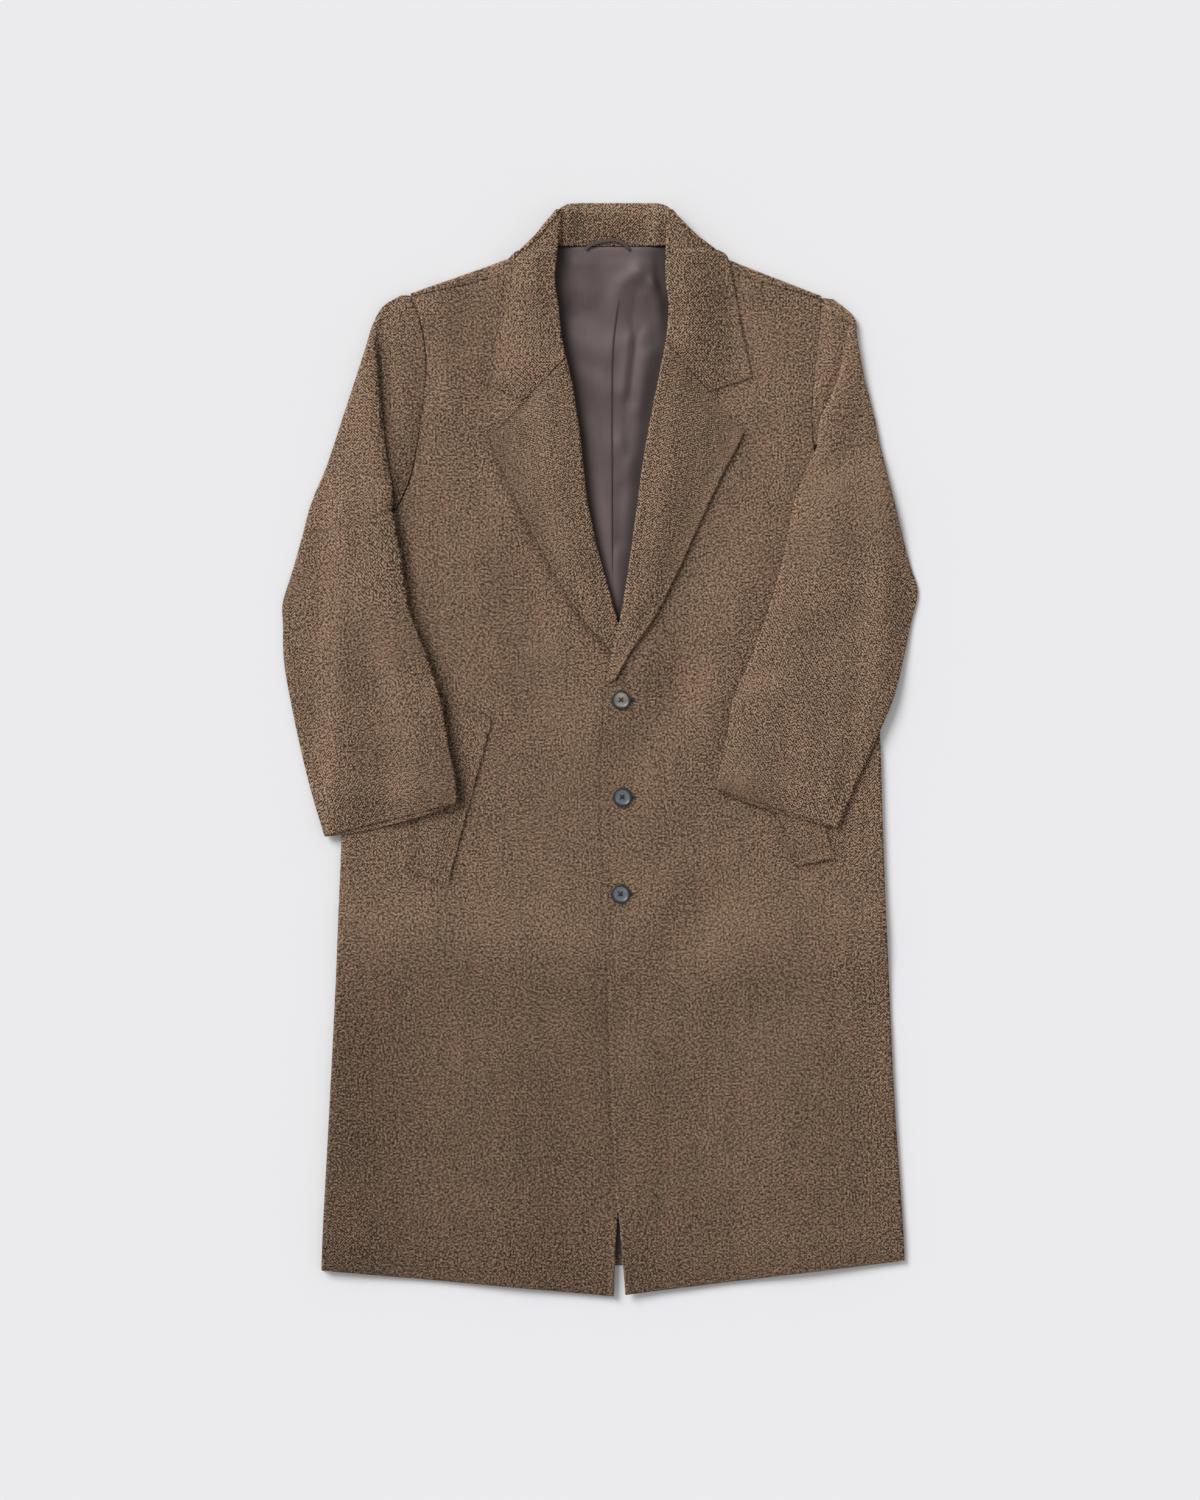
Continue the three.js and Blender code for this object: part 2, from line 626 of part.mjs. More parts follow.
// How much a welt lifts what lies on it, which comes down between these distances from the welt.
const WELT_SLOPE = { near: 12, far: 42 };
function weltLift(side, x, y) {
  const { top, low } = WELT[side];
  const down = { x: low[0].x - top[0].x, y: low[0].y - top[0].y };
  const across = { x: top[1].x - top[0].x, y: top[1].y - top[0].y };
  const beyond = (axis) => {
    const length = Math.hypot(axis.x, axis.y);
    const along = ((x - top[0].x) * axis.x + (y - top[0].y) * axis.y) / length;
    return Math.max(0, -along, along - length);
  };
  const clear = Math.hypot(beyond(down), beyond(across));
  return (LAYER + 0.25) * (1 - ramp(clear, WELT_SLOPE.near, WELT_SLOPE.far));
}

// Sleeves: a row per station, from the visible fold over the front (ax, ay) to the outer fold (bx, by).
// Above the underarm arm is the place on the armhole, and the cloth steps up to the height top at the fold.
const SLEEVE_HEAD = {
  left: [
    { arm: 0.22, ax: -238.5, ay: 276, bx: -341.5, by: 247, top: 11.3 },
    { arm: 0.29, ax: -238, ay: 294, bx: -332.4, by: 281, top: 9.8 },
    { arm: 0.38, ax: -244.4, ay: 330.6, bx: -314, by: 326, top: 8.8 },
    { arm: 0.5, ax: -250, ay: 374.3, bx: -297.9, by: 374.3, top: 8.4 },
    { arm: 0.66, ax: -254.2, ay: 434, bx: -278.3, by: 434, top: 8.2 },
    { arm: 0.78, ax: -256.5, ay: 463, bx: -269, by: 463, top: 7.6 },
    { arm: 0.87, ax: -253.6, ay: 487, bx: -261.6, by: 487, top: 6.4 },
    { arm: 0.93, ax: -241.8, ay: 508.5, bx: -249.8, by: 508, top: 5.6 },
    { arm: 1, ax: -220.8, ay: 521.5, bx: -228.6, by: 521, top: 5.2 },
  ],
  right: [
    { arm: 0.44, ax: 250, ay: 349.5, bx: 322, by: 349, top: 8.4 },
    { arm: 0.52, ax: 252.5, ay: 376, bx: 317, by: 374, top: 8.2 },
    { arm: 0.6, ax: 263.4, ay: 401, bx: 310.5, by: 401, top: 8 },
    { arm: 0.7, ax: 276, ay: 431, bx: 303, by: 431, top: 7.8 },
    { arm: 0.83, ax: 285.2, ay: 473, bx: 295.6, by: 473, top: 7.2 },
    { arm: 0.92, ax: 284, ay: 496.5, bx: 292.1, by: 496, top: 6 },
    { arm: 1, ax: 260, ay: 518, bx: 268.4, by: 516.5, top: 5.2 },
  ],
};
const SLEEVE = {
  left: [
    { ax: -238.5, ay: 276, bx: -341.5, by: 247, top: 11.3 },
    { ax: -228.9, ay: 224.8, bx: -353, by: 206.4, top: 11.3 },
    { ax: -220.8, ay: 167.3, bx: -364.6, by: 168.5, top: 11.3 },
    { ax: -211.6, ay: 139.7, bx: -364.4, by: 143.2, top: 11.3 },
    { ax: -199, ay: 108.7, bx: -363.4, by: 102.9, top: 11.3 },
    { ax: -182.9, ay: 56.9, bx: -355.9, by: 56.9, top: 11.3 },
    { ax: -173.7, ay: 5.2, bx: -345, by: 5.2, top: 11.3 },
    { ax: -166.8, ay: -29.3, bx: -332.4, by: -46.6, top: 11.3 },
    { ax: -163.3, ay: -61, bx: -316.3, by: -99.5, top: 11.3 },
  ],
  right: [
    { ax: 250, ay: 349.5, bx: 322, by: 349, top: 8.4 },
    { ax: 233.4, ay: 312.2, bx: 331.8, by: 309.9, top: 9 },
    { ax: 222.5, ay: 283.5, bx: 340.4, by: 276.6, top: 10.3 },
    { ax: 216.2, ay: 252.4, bx: 346.2, by: 250.1, top: 11.3 },
    { ax: 208.2, ay: 213.3, bx: 356.5, by: 211, top: 11.3 },
    { ax: 197.8, ay: 175.4, bx: 365, by: 181.1, top: 11.3 },
    { ax: 186.3, ay: 140.9, bx: 357.7, by: 146.6, top: 11.3 },
    { ax: 172.5, ay: 102.9, bx: 349.6, by: 108.7, top: 11.3 },
    { ax: 153, ay: 58.1, bx: 338.1, by: 62.7, top: 11.3 },
    { ax: 143.8, ay: 5.2, bx: 317.4, by: 13.2, top: 11.3 },
    { ax: 135.7, ay: -29.3, bx: 295.6, by: -35.1, top: 11.3 },
    { ax: 133.4, ay: -45.4, bx: 272.6, by: -89.1, top: 11.3 },
  ],
};
// Outer fold of the under sleeve against the place on the back's armhole, up to where the heads' rows begin.
const UNDER_HEAD = {
  left: [
    { arm: 0, bx: -341.5, by: 247 },
    { arm: 0.15, bx: -335, by: 270 },
    { arm: 0.29, bx: -328.5, by: 292 },
    { arm: 0.38, bx: -314, by: 326 },
  ],
  right: [
    { arm: 0, bx: 346.2, by: 250.1 },
    { arm: 0.15, bx: 340.4, by: 276.6 },
    { arm: 0.3, bx: 331.8, by: 309.9 },
    { arm: 0.44, bx: 322, by: 349 },
  ],
};
// The first row of SLEEVE that the under sleeve has too, level with the underarm.
const UNDER_START = { left: 0, right: 3 };
// Places in the tables at which the rows lie.
const STATIONS = {
  left: [0, 0.7, 1.4, 2, 2.6, 3.2, 3.8, 4.5, 5.2, 6, 7, 8],
  right: [0, 1, 2, 2.5, 3, 4, 5, 6, 7, 8, 9, 10, 11],
};
const HEAD_COLUMNS = 3;
const SLEEVE_COLUMNS = 7;
const FLOOR_LEAD = 8; // a sleeve starts to come down this far outside the body
const HEAD_MIDDLE = 0.4; // share of a head's row that lies between the step and its middle
const STEP = { foot: 0.5, rise: 0.9, share: 0.75 }; // the step of a sleeve head, beside its fold

// How far a place lies outside the body at the height of the sleeve.
const outside = (side, x, y) => Math.max(0, SIGN[side] * (x - sideX(side, Math.min(y, UNDERARM_Y))));

// Height of the under sleeve: up on the front, down to the floor outside the body and above the underarm.
function underZ(side, x, y, onFront) {
  const above = onFront ? 0 : 1.5 * Math.max(0, y - UNDERARM_Y);
  const down = ramp(Math.hypot(outside(side, x, y), above), FLOOR_LEAD, FLOOR_LEAD + CLIMB);
  return lerp(SLEEVE_Z + (onFront ? weltLift(side, x, y) : 0), BACK_Z, down);
}

// Height of the top sleeve, which comes down from the height top at the fold over the front.
function topZ(side, x, y, row, onFront) {
  const armX = lookup(ARMHOLE[side], "y", "x", y);
  const past = ramp(SIGN[side] * (x - armX), 4, 40);
  const onArmhole = y > UNDERARM_Y && row.overArm ? lerp(FRONT_Z + LAYER + 0.3, BACK_Z, past) : 0;
  const gone = ramp(y, UNDERARM_Y + 40, UNDERARM_Y + 70);
  const tuck = TUCK_AIR * ramp(y, UNDERARM_Y - 12, UNDERARM_Y) * (1 - gone);
  const rest = Math.max(underZ(side, x, y, onFront) + 2 * SLEEVE_R + tuck, onArmhole);
  const away = ramp(Math.hypot(x - row.ax, y - row.ay), 5, 50);
  return Math.max(lerp(row.top, rest, away), rest);
}

// A lip at p that turns down or up over a fold; along is the way into the panel.
function lipRow(p, along, radius, heightAt, towards) {
  return LIP.map((turn) => {
    const run = HALF + radius * (1 - Math.cos(turn));
    const [x, y] = [p.x + along.x * run, p.y + along.y * run];
    return [x, y, heightAt(x, y) + towards * (radius - LIP_END) * (1 - Math.sin(turn))];
  });
}

function direction(from, to) {
  const length = Math.hypot(to.x - from.x, to.y - from.y);
  return { x: (to.x - from.x) / length, y: (to.y - from.y) / length };
}

// Points between two others, ends left out.
const between = (p, q, count, heightAt) =>
  steps(count)
    .slice(1, -1)
    .map((t) => {
      const [x, y] = [lerp(p[0], q[0], t), lerp(p[1], q[1], t)];
      return [x, y, heightAt(x, y)];
    });

const tableRow = (table, at) =>
  Object.fromEntries(Object.keys(table[0]).map((name) => [name, column(table, name, at)]));

// Row of a table at the place arm on the armhole.
function armRow(table, arm) {
  const places = table.map((row, at) => ({ arm: row.arm, at }));
  return tableRow(table, lookup(places, "arm", "at", arm));
}

// Rows of the sleeve's table from a first one down to the cuff, each with its middle over the body's side.
function sleeveRows(side, first) {
  const table = SLEEVE[side];
  const underarm = armhole(side, 0, HALF + SEAM);
  const start = table[UNDER_START[side]];
  const atUnderarm = Math.abs(underarm.x - start.ax) / Math.abs(start.bx - start.ax);
  return STATIONS[side]
    .filter((at) => at >= first)
    .map((at) => {
      const row = tableRow(table, at);
      const share = lerp(atUnderarm, 0.5, ramp(at, UNDER_START[side], table.length - 3));
      row.middle = { x: lerp(row.ax, row.bx, share), y: lerp(row.ay, row.by, share) };
      if (at === UNDER_START[side]) row.middle = underarm;
      row.onFront = at >= UNDER_START[side];
      row.overArm = !row.onFront;
      return row;
    });
}

function sleeveTop(side) {
  // The part of a row from the top of the fold over the front to the outer fold.
  const body = (row) => {
    const [a, b] = [{ x: row.ax, y: row.ay }, { x: row.bx, y: row.by }];
    const height = (x, y) => topZ(side, x, y, row, row.onFront);
    const outerR = (height(b.x, b.y) - underZ(side, b.x, b.y, row.onFront)) / 2;
    const fold = lipRow(a, direction(a, row.middle), SLEEVE_R, height, -1);
    const outer = lipRow(b, direction(b, row.middle), outerR, height, -1).reverse();
    const top = fold.pop();
    const m = [row.middle.x, row.middle.y, height(row.middle.x, row.middle.y)];
    const inner = between(top, m, HEAD_COLUMNS, height);
    return { fold, shared: [top, ...inner, m, ...between(m, outer[0], SLEEVE_COLUMNS, height), ...outer] };
  };
  const low = sleeveRows(side, 0);
  const lowRows = low.map((row) => {
    const { fold, shared } = body(row);
    return [...fold, ...shared];
  });
  const head = SLEEVE_HEAD[side];
  const headRows = ARM_ROWS.filter((arm) => arm > head[0].arm - 1e-6).map((arm, k) => {
    const row = k === 0 ? low[0] : armRow(head, arm);
    if (k > 0) row.middle = { x: lerp(row.ax, row.bx, HEAD_MIDDLE), y: lerp(row.ay, row.by, HEAD_MIDDLE) };
    const { shared } = body(row);
    const seam = armhole(side, arm, 2 * SEAM);
    const start = [seam.x, seam.y, FRONT_Z];
    const along = direction({ x: row.ax, y: row.ay }, row.middle);
    const foot = [row.ax - along.x * STEP.foot, row.ay - along.y * STEP.foot, FRONT_Z];
    const [riseX, riseY] = [row.ax + along.x * STEP.rise, row.ay + along.y * STEP.rise];
    const rise = [riseX, riseY, lerp(FRONT_Z, shared[0][2], STEP.share)];
    return [start, ...between(start, foot, HEAD_COLUMNS, () => FRONT_Z), foot, rise, ...shared];
  });
  const mirrored = side === "right";
  return new Panel().grid(headRows, !mirrored).grid(lowRows, mirrored).solid(CLOTH);
}

function sleeveUnder(side) {
  const underarm = armhole(side, 0, HALF + SEAM);
  const onFloor = (x, y) => underZ(side, x, y, false);
  const onFront = (x, y) => underZ(side, x, y, true);
  const outer = (b, toward, height) => lipRow(b, direction(b, toward), SLEEVE_R, height, 1).reverse();
  const head = SLEEVE_HEAD[side].filter((row) => row.arm > UNDER_HEAD[side][3].arm + 0.02);
  const folds = [...UNDER_HEAD[side], ...head.map(({ arm, bx, by }) => ({ arm, bx, by }))];
  const headRows = ARM_ROWS.map((arm) => {
    const seam = arm > 0 ? armhole(side, arm, 2 * SEAM, ARM_EASE) : underarm;
    const start = [seam.x, seam.y, onFloor(seam.x, seam.y)];
    const fold = armRow(folds, arm);
    const lip = outer({ x: fold.bx, y: fold.by }, seam, onFloor);
    return [start, ...between(start, lip[0], SLEEVE_COLUMNS, onFloor), ...lip];
  });
  const lowRows = sleeveRows(side, UNDER_START[side]).map((row, k) => {
    const a = { x: row.ax, y: row.ay };
    const middle = row.middle;
    const fold = lipRow(a, direction(a, middle), SLEEVE_R, onFront, 1);
    const m = [middle.x, middle.y, onFront(middle.x, middle.y)];
    const lip = outer({ x: row.bx, y: row.by }, middle, onFront);
    const rest = k === 0 ? headRows[0] : [m, ...between(m, lip[0], SLEEVE_COLUMNS, onFront), ...lip];
    return [...fold, ...between(fold[LIP.length - 1], m, HEAD_COLUMNS, onFront), ...rest];
  });
  const mirrored = side === "right";
  return new Panel().grid(headRows, !mirrored).grid(lowRows, mirrored).solid(CLOTH);
}

// The loop to hang the coat by: a strip of lining cloth that arches over the neck seam.
const LOOP = [
  { x: -20, y: 574 },
  { x: -12, y: 580 },
  { x: 4, y: 584.5 },
  { x: 24, y: 585 },
  { x: 38, y: 580.5 },
  { x: 47, y: 573.5 },
];
const LOOP_WIDTH = 6;
const LOOP_Z = 6.6;

function hangerLoop() {
  const rows = steps(12).map((t) => {
    const at = t * (LOOP.length - 1);
    const here = tableRow(LOOP, at);
    const ahead = tableRow(LOOP, Math.min(at + 0.05, LOOP.length - 1));
    const before = tableRow(LOOP, Math.max(at - 0.05, 0));
    const along = direction(before, ahead);
    return [-0.5, 0, 0.5].map((k) => [
      here.x - along.y * k * LOOP_WIDTH,
      here.y + along.x * k * LOOP_WIDTH,
      LOOP_Z,
    ]);
  });
  return new Panel().grid(rows).solid(LINING);
}

// A button: a turned disc with a rim round a shallow dish, and four sewing holes.
const BUTTON_PROFILE = [
  { r: 0, z: 0 },
  { r: 9.6, z: 0 },
  { r: BUTTON_R, z: 1.3 },
  { r: BUTTON_R, z: 2.2 },
  { r: 10.6, z: BUTTON_THICK },
  { r: 9.2, z: BUTTON_THICK },
  { r: 7.6, z: 2.5 },
  { r: 0, z: 2.3 },
];
const BUTTON_ROUND = 24;
const HOLE_ROUND = 8;
const HOLE_R = 1.1;
const HOLE_APART = 2.1; // from the button's middle to a hole's middle, along x and y

function button({ x, y }) {
  const z = frontZ("right", x, y) + HALF + SEAM;
  const profile = BUTTON_PROFILE.map((p) => new THREE.Vector2(p.r, p.z));
  const disc = toSolid(new THREE.LatheGeometry(profile, BUTTON_ROUND).rotateX(Math.PI / 2));
  const drill = wasm.Manifold.cylinder(BUTTON_THICK + 2, HOLE_R, HOLE_R, HOLE_ROUND);
  const holes = [-HOLE_APART, HOLE_APART].flatMap((across) =>
    [-HOLE_APART, HOLE_APART].map((up) => drill.translate([across, up, -1])),
  );
  return toGeometry(disc.subtract(wasm.Manifold.union(holes))).translate(x, y, z);
}

// Solid of a lathe's geometry, with the points that share a place merged.
function toSolid(geometry) {
  const bare = new THREE.BufferGeometry();
  bare.setAttribute("position", geometry.getAttribute("position"));
  bare.setIndex(geometry.index);
  const merged = mergeVertices(bare, 1e-4);
  const triVerts = [];
  for (let i = 0; i < merged.index.count; i += 3) {
    const [a, b, c] = [0, 1, 2].map((k) => merged.index.getX(i + k));
    if (a !== b && b !== c && c !== a) triVerts.push(a, b, c);
  }
  const mesh = {
    numProp: 3,
    vertProperties: new Float32Array(merged.attributes.position.array),
    triVerts: new Uint32Array(triVerts),
  };
  return new wasm.Manifold(new wasm.Mesh(mesh));
}

function toGeometry(solid) {
  const mesh = solid.getMesh();
  const g = new THREE.BufferGeometry();
  g.setAttribute("position", new THREE.BufferAttribute(new Float32Array(mesh.vertProperties), 3));
  g.setIndex(new THREE.BufferAttribute(new Uint32Array(mesh.triVerts), 1));
  return g;
}

const coat = new THREE.Group();
function add(name, geometry, material) {
  const mesh = new THREE.Mesh(geometry, material);
  mesh.name = name;
  coat.add(mesh);
}
for (const side of ["left", "right"]) {
  add("back_" + side, back(side), WOOL);
  add("front_" + side, front(side), WOOL);
  add("lapel_" + side, lapel(side), WOOL);
  add("sleeve_under_" + side, sleeveUnder(side), WOOL);
  add("sleeve_top_" + side, sleeveTop(side), WOOL);
  add("pocket_welt_" + side, welt(side), WOOL);
}
add("back_lining", backLining(), SATIN);
add("collar", collar(), WOOL);
add("hanger_loop", hangerLoop(), SATIN);
for (const [name, place] of Object.entries(BUTTONS)) add("button_" + name, button(place), HORN);

export default coat;
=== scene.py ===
# %% [markdown]
# # A long wool overcoat, laid flat
# The coat lies on its back on a pale floor, seen from straight above, with both sleeves folded down over
# the fronts. Every panel is cut, rolled and laid by a few small functions, just as a tailor would lay the
# pieces, and the finish comes from weave, creases, seams and light. We first load the frame: it holds the
# plain solid of each piece, which our finer cloth then stands for.

# %% Load the frame
import math

import bmesh
import bpy
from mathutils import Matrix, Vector


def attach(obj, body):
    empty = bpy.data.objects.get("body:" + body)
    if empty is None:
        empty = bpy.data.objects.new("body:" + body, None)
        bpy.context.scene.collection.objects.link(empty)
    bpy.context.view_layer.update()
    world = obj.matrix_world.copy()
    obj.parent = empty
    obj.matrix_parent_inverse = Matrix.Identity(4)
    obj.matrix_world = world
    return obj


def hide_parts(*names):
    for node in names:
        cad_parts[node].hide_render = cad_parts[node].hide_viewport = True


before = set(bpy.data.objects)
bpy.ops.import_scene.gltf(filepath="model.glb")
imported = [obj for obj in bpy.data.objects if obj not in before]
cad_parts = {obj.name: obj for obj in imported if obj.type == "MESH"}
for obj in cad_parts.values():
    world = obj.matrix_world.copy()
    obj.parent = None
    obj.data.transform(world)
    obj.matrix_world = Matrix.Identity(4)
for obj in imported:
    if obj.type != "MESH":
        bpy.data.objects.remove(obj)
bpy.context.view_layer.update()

MM = 0.001
print("pieces in the frame:", len(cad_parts))

# %% [markdown]
# ## Sizes
# All sizes are in millimetres, as on a pattern sheet. The layers of a coat that lies flat are stacked like
# pages: back, lining, fronts, lapels, sleeves. Each height below is that of the middle of a layer.

# %% Sizes of cloth, layers and folds
CLOTH = 2.0
HALF = CLOTH / 2
LINING = 1.0
SEAM = 0.3
LAYER = CLOTH + SEAM
BACK_Z = HALF
LINING_Z = 3.08
FRONT_Z = 5.2
FOLD_R = (FRONT_Z - BACK_Z) / 2
LIP_END = 0.24
SLEEVE_Z = 7.9
SLEEVE_R = 1.7
TUCK_AIR = 1.2
CLIMB = 34
LEG = 14
LAPEL_EASE = 0.4
FACING_LIFT = 2.1
ROLL_CLEAR = 0.9
LAP_NEAR, LAP_FAR = 5, 62
CENTRE_X = 16
ARM_EASE = 8
UNDERARM_Y = 255
HEM_LINING_Y = -580
HEM_CENTRE_Y = -593
CENTRE_UNDERARM_Y = 300
NECK_Y = 578
COLLAR_TOP_Y = 628
COLLAR_TOP_X = {"left": -47, "right": 81.5}
TOP_BOW, TOP_BOW_POWER = 7.5, 10
SIGN = {"left": -1, "right": 1}
BUTTON_R = 11.5
BUTTON_THICK = 3.4
BUTTONS = {"top": (24, 57), "middle": (25.5, -54.5), "bottom": (23.5, -165.5)}


# %% [markdown]
# ## Curves from short tables
# An edge of a pattern piece is a handful of measured places with a smooth curve through them. `column`
# reads such a curve at any fraction between two rows, and `lookup` finds the value of one column where
# another column has a given value.

# %% Curves from short tables
def lerp(a, b, t):
    return a + (b - a) * t


def clamp(t, low=0.0, high=1.0):
    return min(high, max(low, t))


def ramp(value, start, end):
    """0 before start, 1 after end, and a soft S between them."""
    k = clamp((value - start) / (end - start))
    return k * k * (3 - 2 * k)


def steps(count):
    return [i / count for i in range(count + 1)]


def table(names, *rows):
    """A small table: a list of rows, each a dict of column name to number."""
    names = names.split()
    return [dict(zip(names, row)) for row in rows]


def column(rows, name, at):
    last = len(rows) - 1
    i = int(clamp(math.floor(at), 0, last - 1))
    a, b, c, d = (rows[int(clamp(k, 0, last))][name] for k in (i - 1, i, i + 1, i + 2))
    t = at - i
    bend = 2 * a - 5 * b + 4 * c - d
    twist = 3 * b - a - 3 * c + d
    return 0.5 * (2 * b + (c - a) * t + bend * t * t + twist * t ** 3)


def lookup(rows, key, name, value):
    if value <= rows[0][key]:
        return rows[0][name]
    if value >= rows[-1][key]:
        return rows[-1][name]
    i = next(k for k, row in enumerate(rows) if row[key] > value) - 1
    return column(rows, name, i + (value - rows[i][key]) / (rows[i + 1][key] - rows[i][key]))


def table_row(rows, at):
    return {name: column(rows, name, at) for name in rows[0]}


# %% [markdown]
# ## The outline of the coat
# These are the measured lines of the real coat: side seams, armholes, front edges with the roll of the
# lapels above the top button, the neck, and the outer edge of the collar where it hides under the back.

# %% Outline tables
SIDE = {
    "left": table("y x", (-598, -320), (-402, -310.5), (-264, -303.5), (-103, -297), (60, -289),
                  (UNDERARM_Y, -280.5)),
    "right": table("y x", (-587, 350), (-402, 338.5), (-264, 332), (-103, 325.5), (11, 322),
                   (UNDERARM_Y, 316)),
}
ARMHOLE = {
    "left": table("x y", (-280.5, UNDERARM_Y), (-243, 266), (-218.5, 310), (-206, 374), (-199.5, 434),
                  (-204, 482), (-217, 521)),
    "right": table("x y", (316, UNDERARM_Y), (281, 271), (253, 315), (243.5, 368), (244.5, 420),
                   (251, 474), (254, 518)),
}
EDGE = {
    "left": table("y x", (-628, 16), (-532, 20.7), (-345, 34.5), (-172, 46), (-11, 47.2), (57, 44.5),
                  (110, 31), (151, 19.6), (198, 6.3), (237, -4.6), (290, -15), (364, -23), (417, -31),
                  (449, -38.5), (473, -43.7), (512, -47.8), (538, -51.5), (580, -47.8), (622, -43.7)),
    "right": table("y x", (-626, 29), (-581, 25.3), (-540, 21.9), (-504, 17.3), (-402, 12.7), (-287, 9.2),
                   (-122, 3.5), (-11, 1.7), (69, 7), (113, 13.8), (145, 21.9), (190, 29.9), (229, 35.7),
                   (285, 43.2), (343, 51.2), (401, 61.8), (446, 71), (477, 76.5), (512, 78.5), (538, 75),
                   (578, 75.4), (622, 76.5)),
}
HEM_EDGE_Y = {"left": -628, "right": -626}
EDGE_UNDERARM_Y = {"left": 262, "right": 264}
GORGE_Y = {"left": 449, "right": 468}
NECK = {
    "left": {"seam": (-77, 552), "fold": (-75, 574)},
    "right": {"seam": (112, 558), "fold": (112, 576)},
}
FALL_EDGE = table("x y", (-108, 561), (-50, 553), (20, 551), (95, 553), (150, 562))


def edge_x(side, y):
    return lookup(EDGE[side], "y", "x", y)


def side_x(side, y):
    return lookup(SIDE[side], "y", "x", y)


def armhole(side, t, gap=0.0, ease=0.0):
    """Point of the armhole seam, moved out from the body by a gap."""
    rows = ARMHOLE[side]

    def at(k):
        place = clamp(k) * (len(rows) - 1)
        return column(rows, "x", place), column(rows, "y", place)

    before, here, after = at(t - 0.01), at(t), at(t + 0.01)
    run = math.dist(before, after)
    away = gap + ease * math.sin(clamp(t) * math.pi)
    return (here[0] + SIGN[side] * (after[1] - before[1]) / run * away,
            here[1] - SIGN[side] * (after[0] - before[0]) / run * away)


# %% [markdown]
# ## Heights of the layers
# The collar runs on under the back of the neck, so what lies there is lifted by one layer. The right front
# laps over the left one. Near the roll of a lapel the front climbs over the facing that goes back under
# it.

# %% Heights of the layers
NECK_X = (-136, -106, 148, 178)
NECK_RISE, NECK_EASE = (42, 9), 0.1
FRONT_LEAD, LINING_LEAD = 19, 13
LAPEL_END_FROM, LAPEL_END_TO = (66, 104), (160, 240)
OVER_TO, OVER_EASE, OVER_LAPEL_EASE = (170, 250), 0.2, 0.3
FACING_FROM, FACING_TO, FACING_WIDTH = (190, 235), 40, (24, 56)


def neck_lift(x, y, lead):
    low = lookup(FALL_EDGE, "x", "y", x) - lead
    a, b, c, d = NECK_X
    across = ramp(x, a - lead, b - lead) * (1 - ramp(x, c + lead, d + lead))
    return (LAYER + NECK_EASE) * across * ramp(y, low - NECK_RISE[0], low - NECK_RISE[1])


def back_z(x, y):
    return BACK_Z + neck_lift(x, y, 0)


def over_left(x, y):
    """How far the right front climbs over the left one, and over the end of the left lapel."""
    past = 1 - ramp(x, edge_x("left", y) + LAP_NEAR, edge_x("left", y) + LAP_FAR)
    lapel_end = ramp(y, *LAPEL_END_FROM) * (1 - ramp(y, *LAPEL_END_TO))
    return past * (1 - ramp(y, *OVER_TO)) * (LAYER + OVER_EASE + (LAYER + OVER_LAPEL_EASE) * lapel_end)


def facing(side, y, lead):
    """1 where a facing goes back under the front beside the roll of the lapel."""
    return ramp(y, *FACING_FROM) * (1 - ramp(y, GORGE_Y[side] + lead, GORGE_Y[side] + FACING_TO))


def front_z(side, x, y):
    roll = FACING_LIFT * facing(side, y, -10) * (1 - ramp(abs(x - edge_x(side, y)), *FACING_WIDTH))
    over = over_left(x, y) if side == "right" else 0
    return FRONT_Z + roll + over + neck_lift(x, y, FRONT_LEAD)


def roll_radius(side, y):
    return lerp(LAYER / 2, LAYER, facing(side, y, 10)) + LAPEL_EASE / 2


# %% [markdown]
# ## Creases placed one by one
# Wool coating lies almost flat, yet the eye reads its soft swells at once. Each row below is one crease:
# the two ends of its line, its width and its height, below zero for a trough. They are as uneven as on the
# coat: the old fold across the skirt, drag lines from the top button, the swell over the chest. `swell`
# adds them up, and every layer that lies on the fronts rides on the same swell, so nothing cuts through
# anything.

# %% Creases of the fronts
CREASE = "x0 y0 x1 y1 width height"
SWELL_MOST = 8.0
SWELL_REST = 2.6
CREASE_REACH = 2.6
LAPEL_STAND, LAPEL_STAND_Y = 2.2, (110, 300)
COLLAR_STAND, COLLAR_STAND_Y = 4.6, (380, 500)
STAND_SLOPE = 80
OPENING_FADE = (2, 26)
FRONT_CREASES = table(
    CREASE,
    (-330, -214, -30, -228, 34, 3.0), (-310, -292, -40, -300, 40, -1.2), (96, -240, 330, -208, 38, 1.8),
    (60, -320, 320, -290, 40, -1.4), (112, 96, 40, -4, 26, -1.6), (66, 110, 4, 26, 26, 1.8),
    (150, 60, 80, -70, 30, 1.6), (128, -170, 22, -318, 28, -2.0), (92, -150, 0, -262, 28, 1.5),
    (190, -200, 100, -330, 34, 1.6), (-60, 100, 0, -10, 24, 1.6), (-190, 505, -172, 390, 26, 2.6),
    (-150, 520, -120, 410, 26, -2.6), (-318, -330, -318, -600, 70, 3.0), (-215, -350, -200, -600, 60, -1.8),
    (-120, -380, -90, -610, 44, 1.6), (-40, -400, -30, -600, 40, -1.0), (110, -400, 150, -600, 46, -1.6),
    (220, -340, 240, -610, 46, 1.8), (318, -300, 335, -590, 36, -1.2), (184, 520, 232, 390, 26, 2.6),
    (140, 500, 160, 420, 20, -1.8), (-152, 210, -120, 60, 36, 2.0), (-84, 190, -66, 60, 28, -1.8),
    (176, 230, 124, 60, 30, 1.8), (96, 190, 84, 60, 22, -1.6), (-206, -60, -190, -190, 32, 1.2),
    (60, -520, 200, -505, 28, 1.2), (-280, -530, -100, -545, 34, 1.4), (-60, 330, -120, 240, 30, 1.4),
)


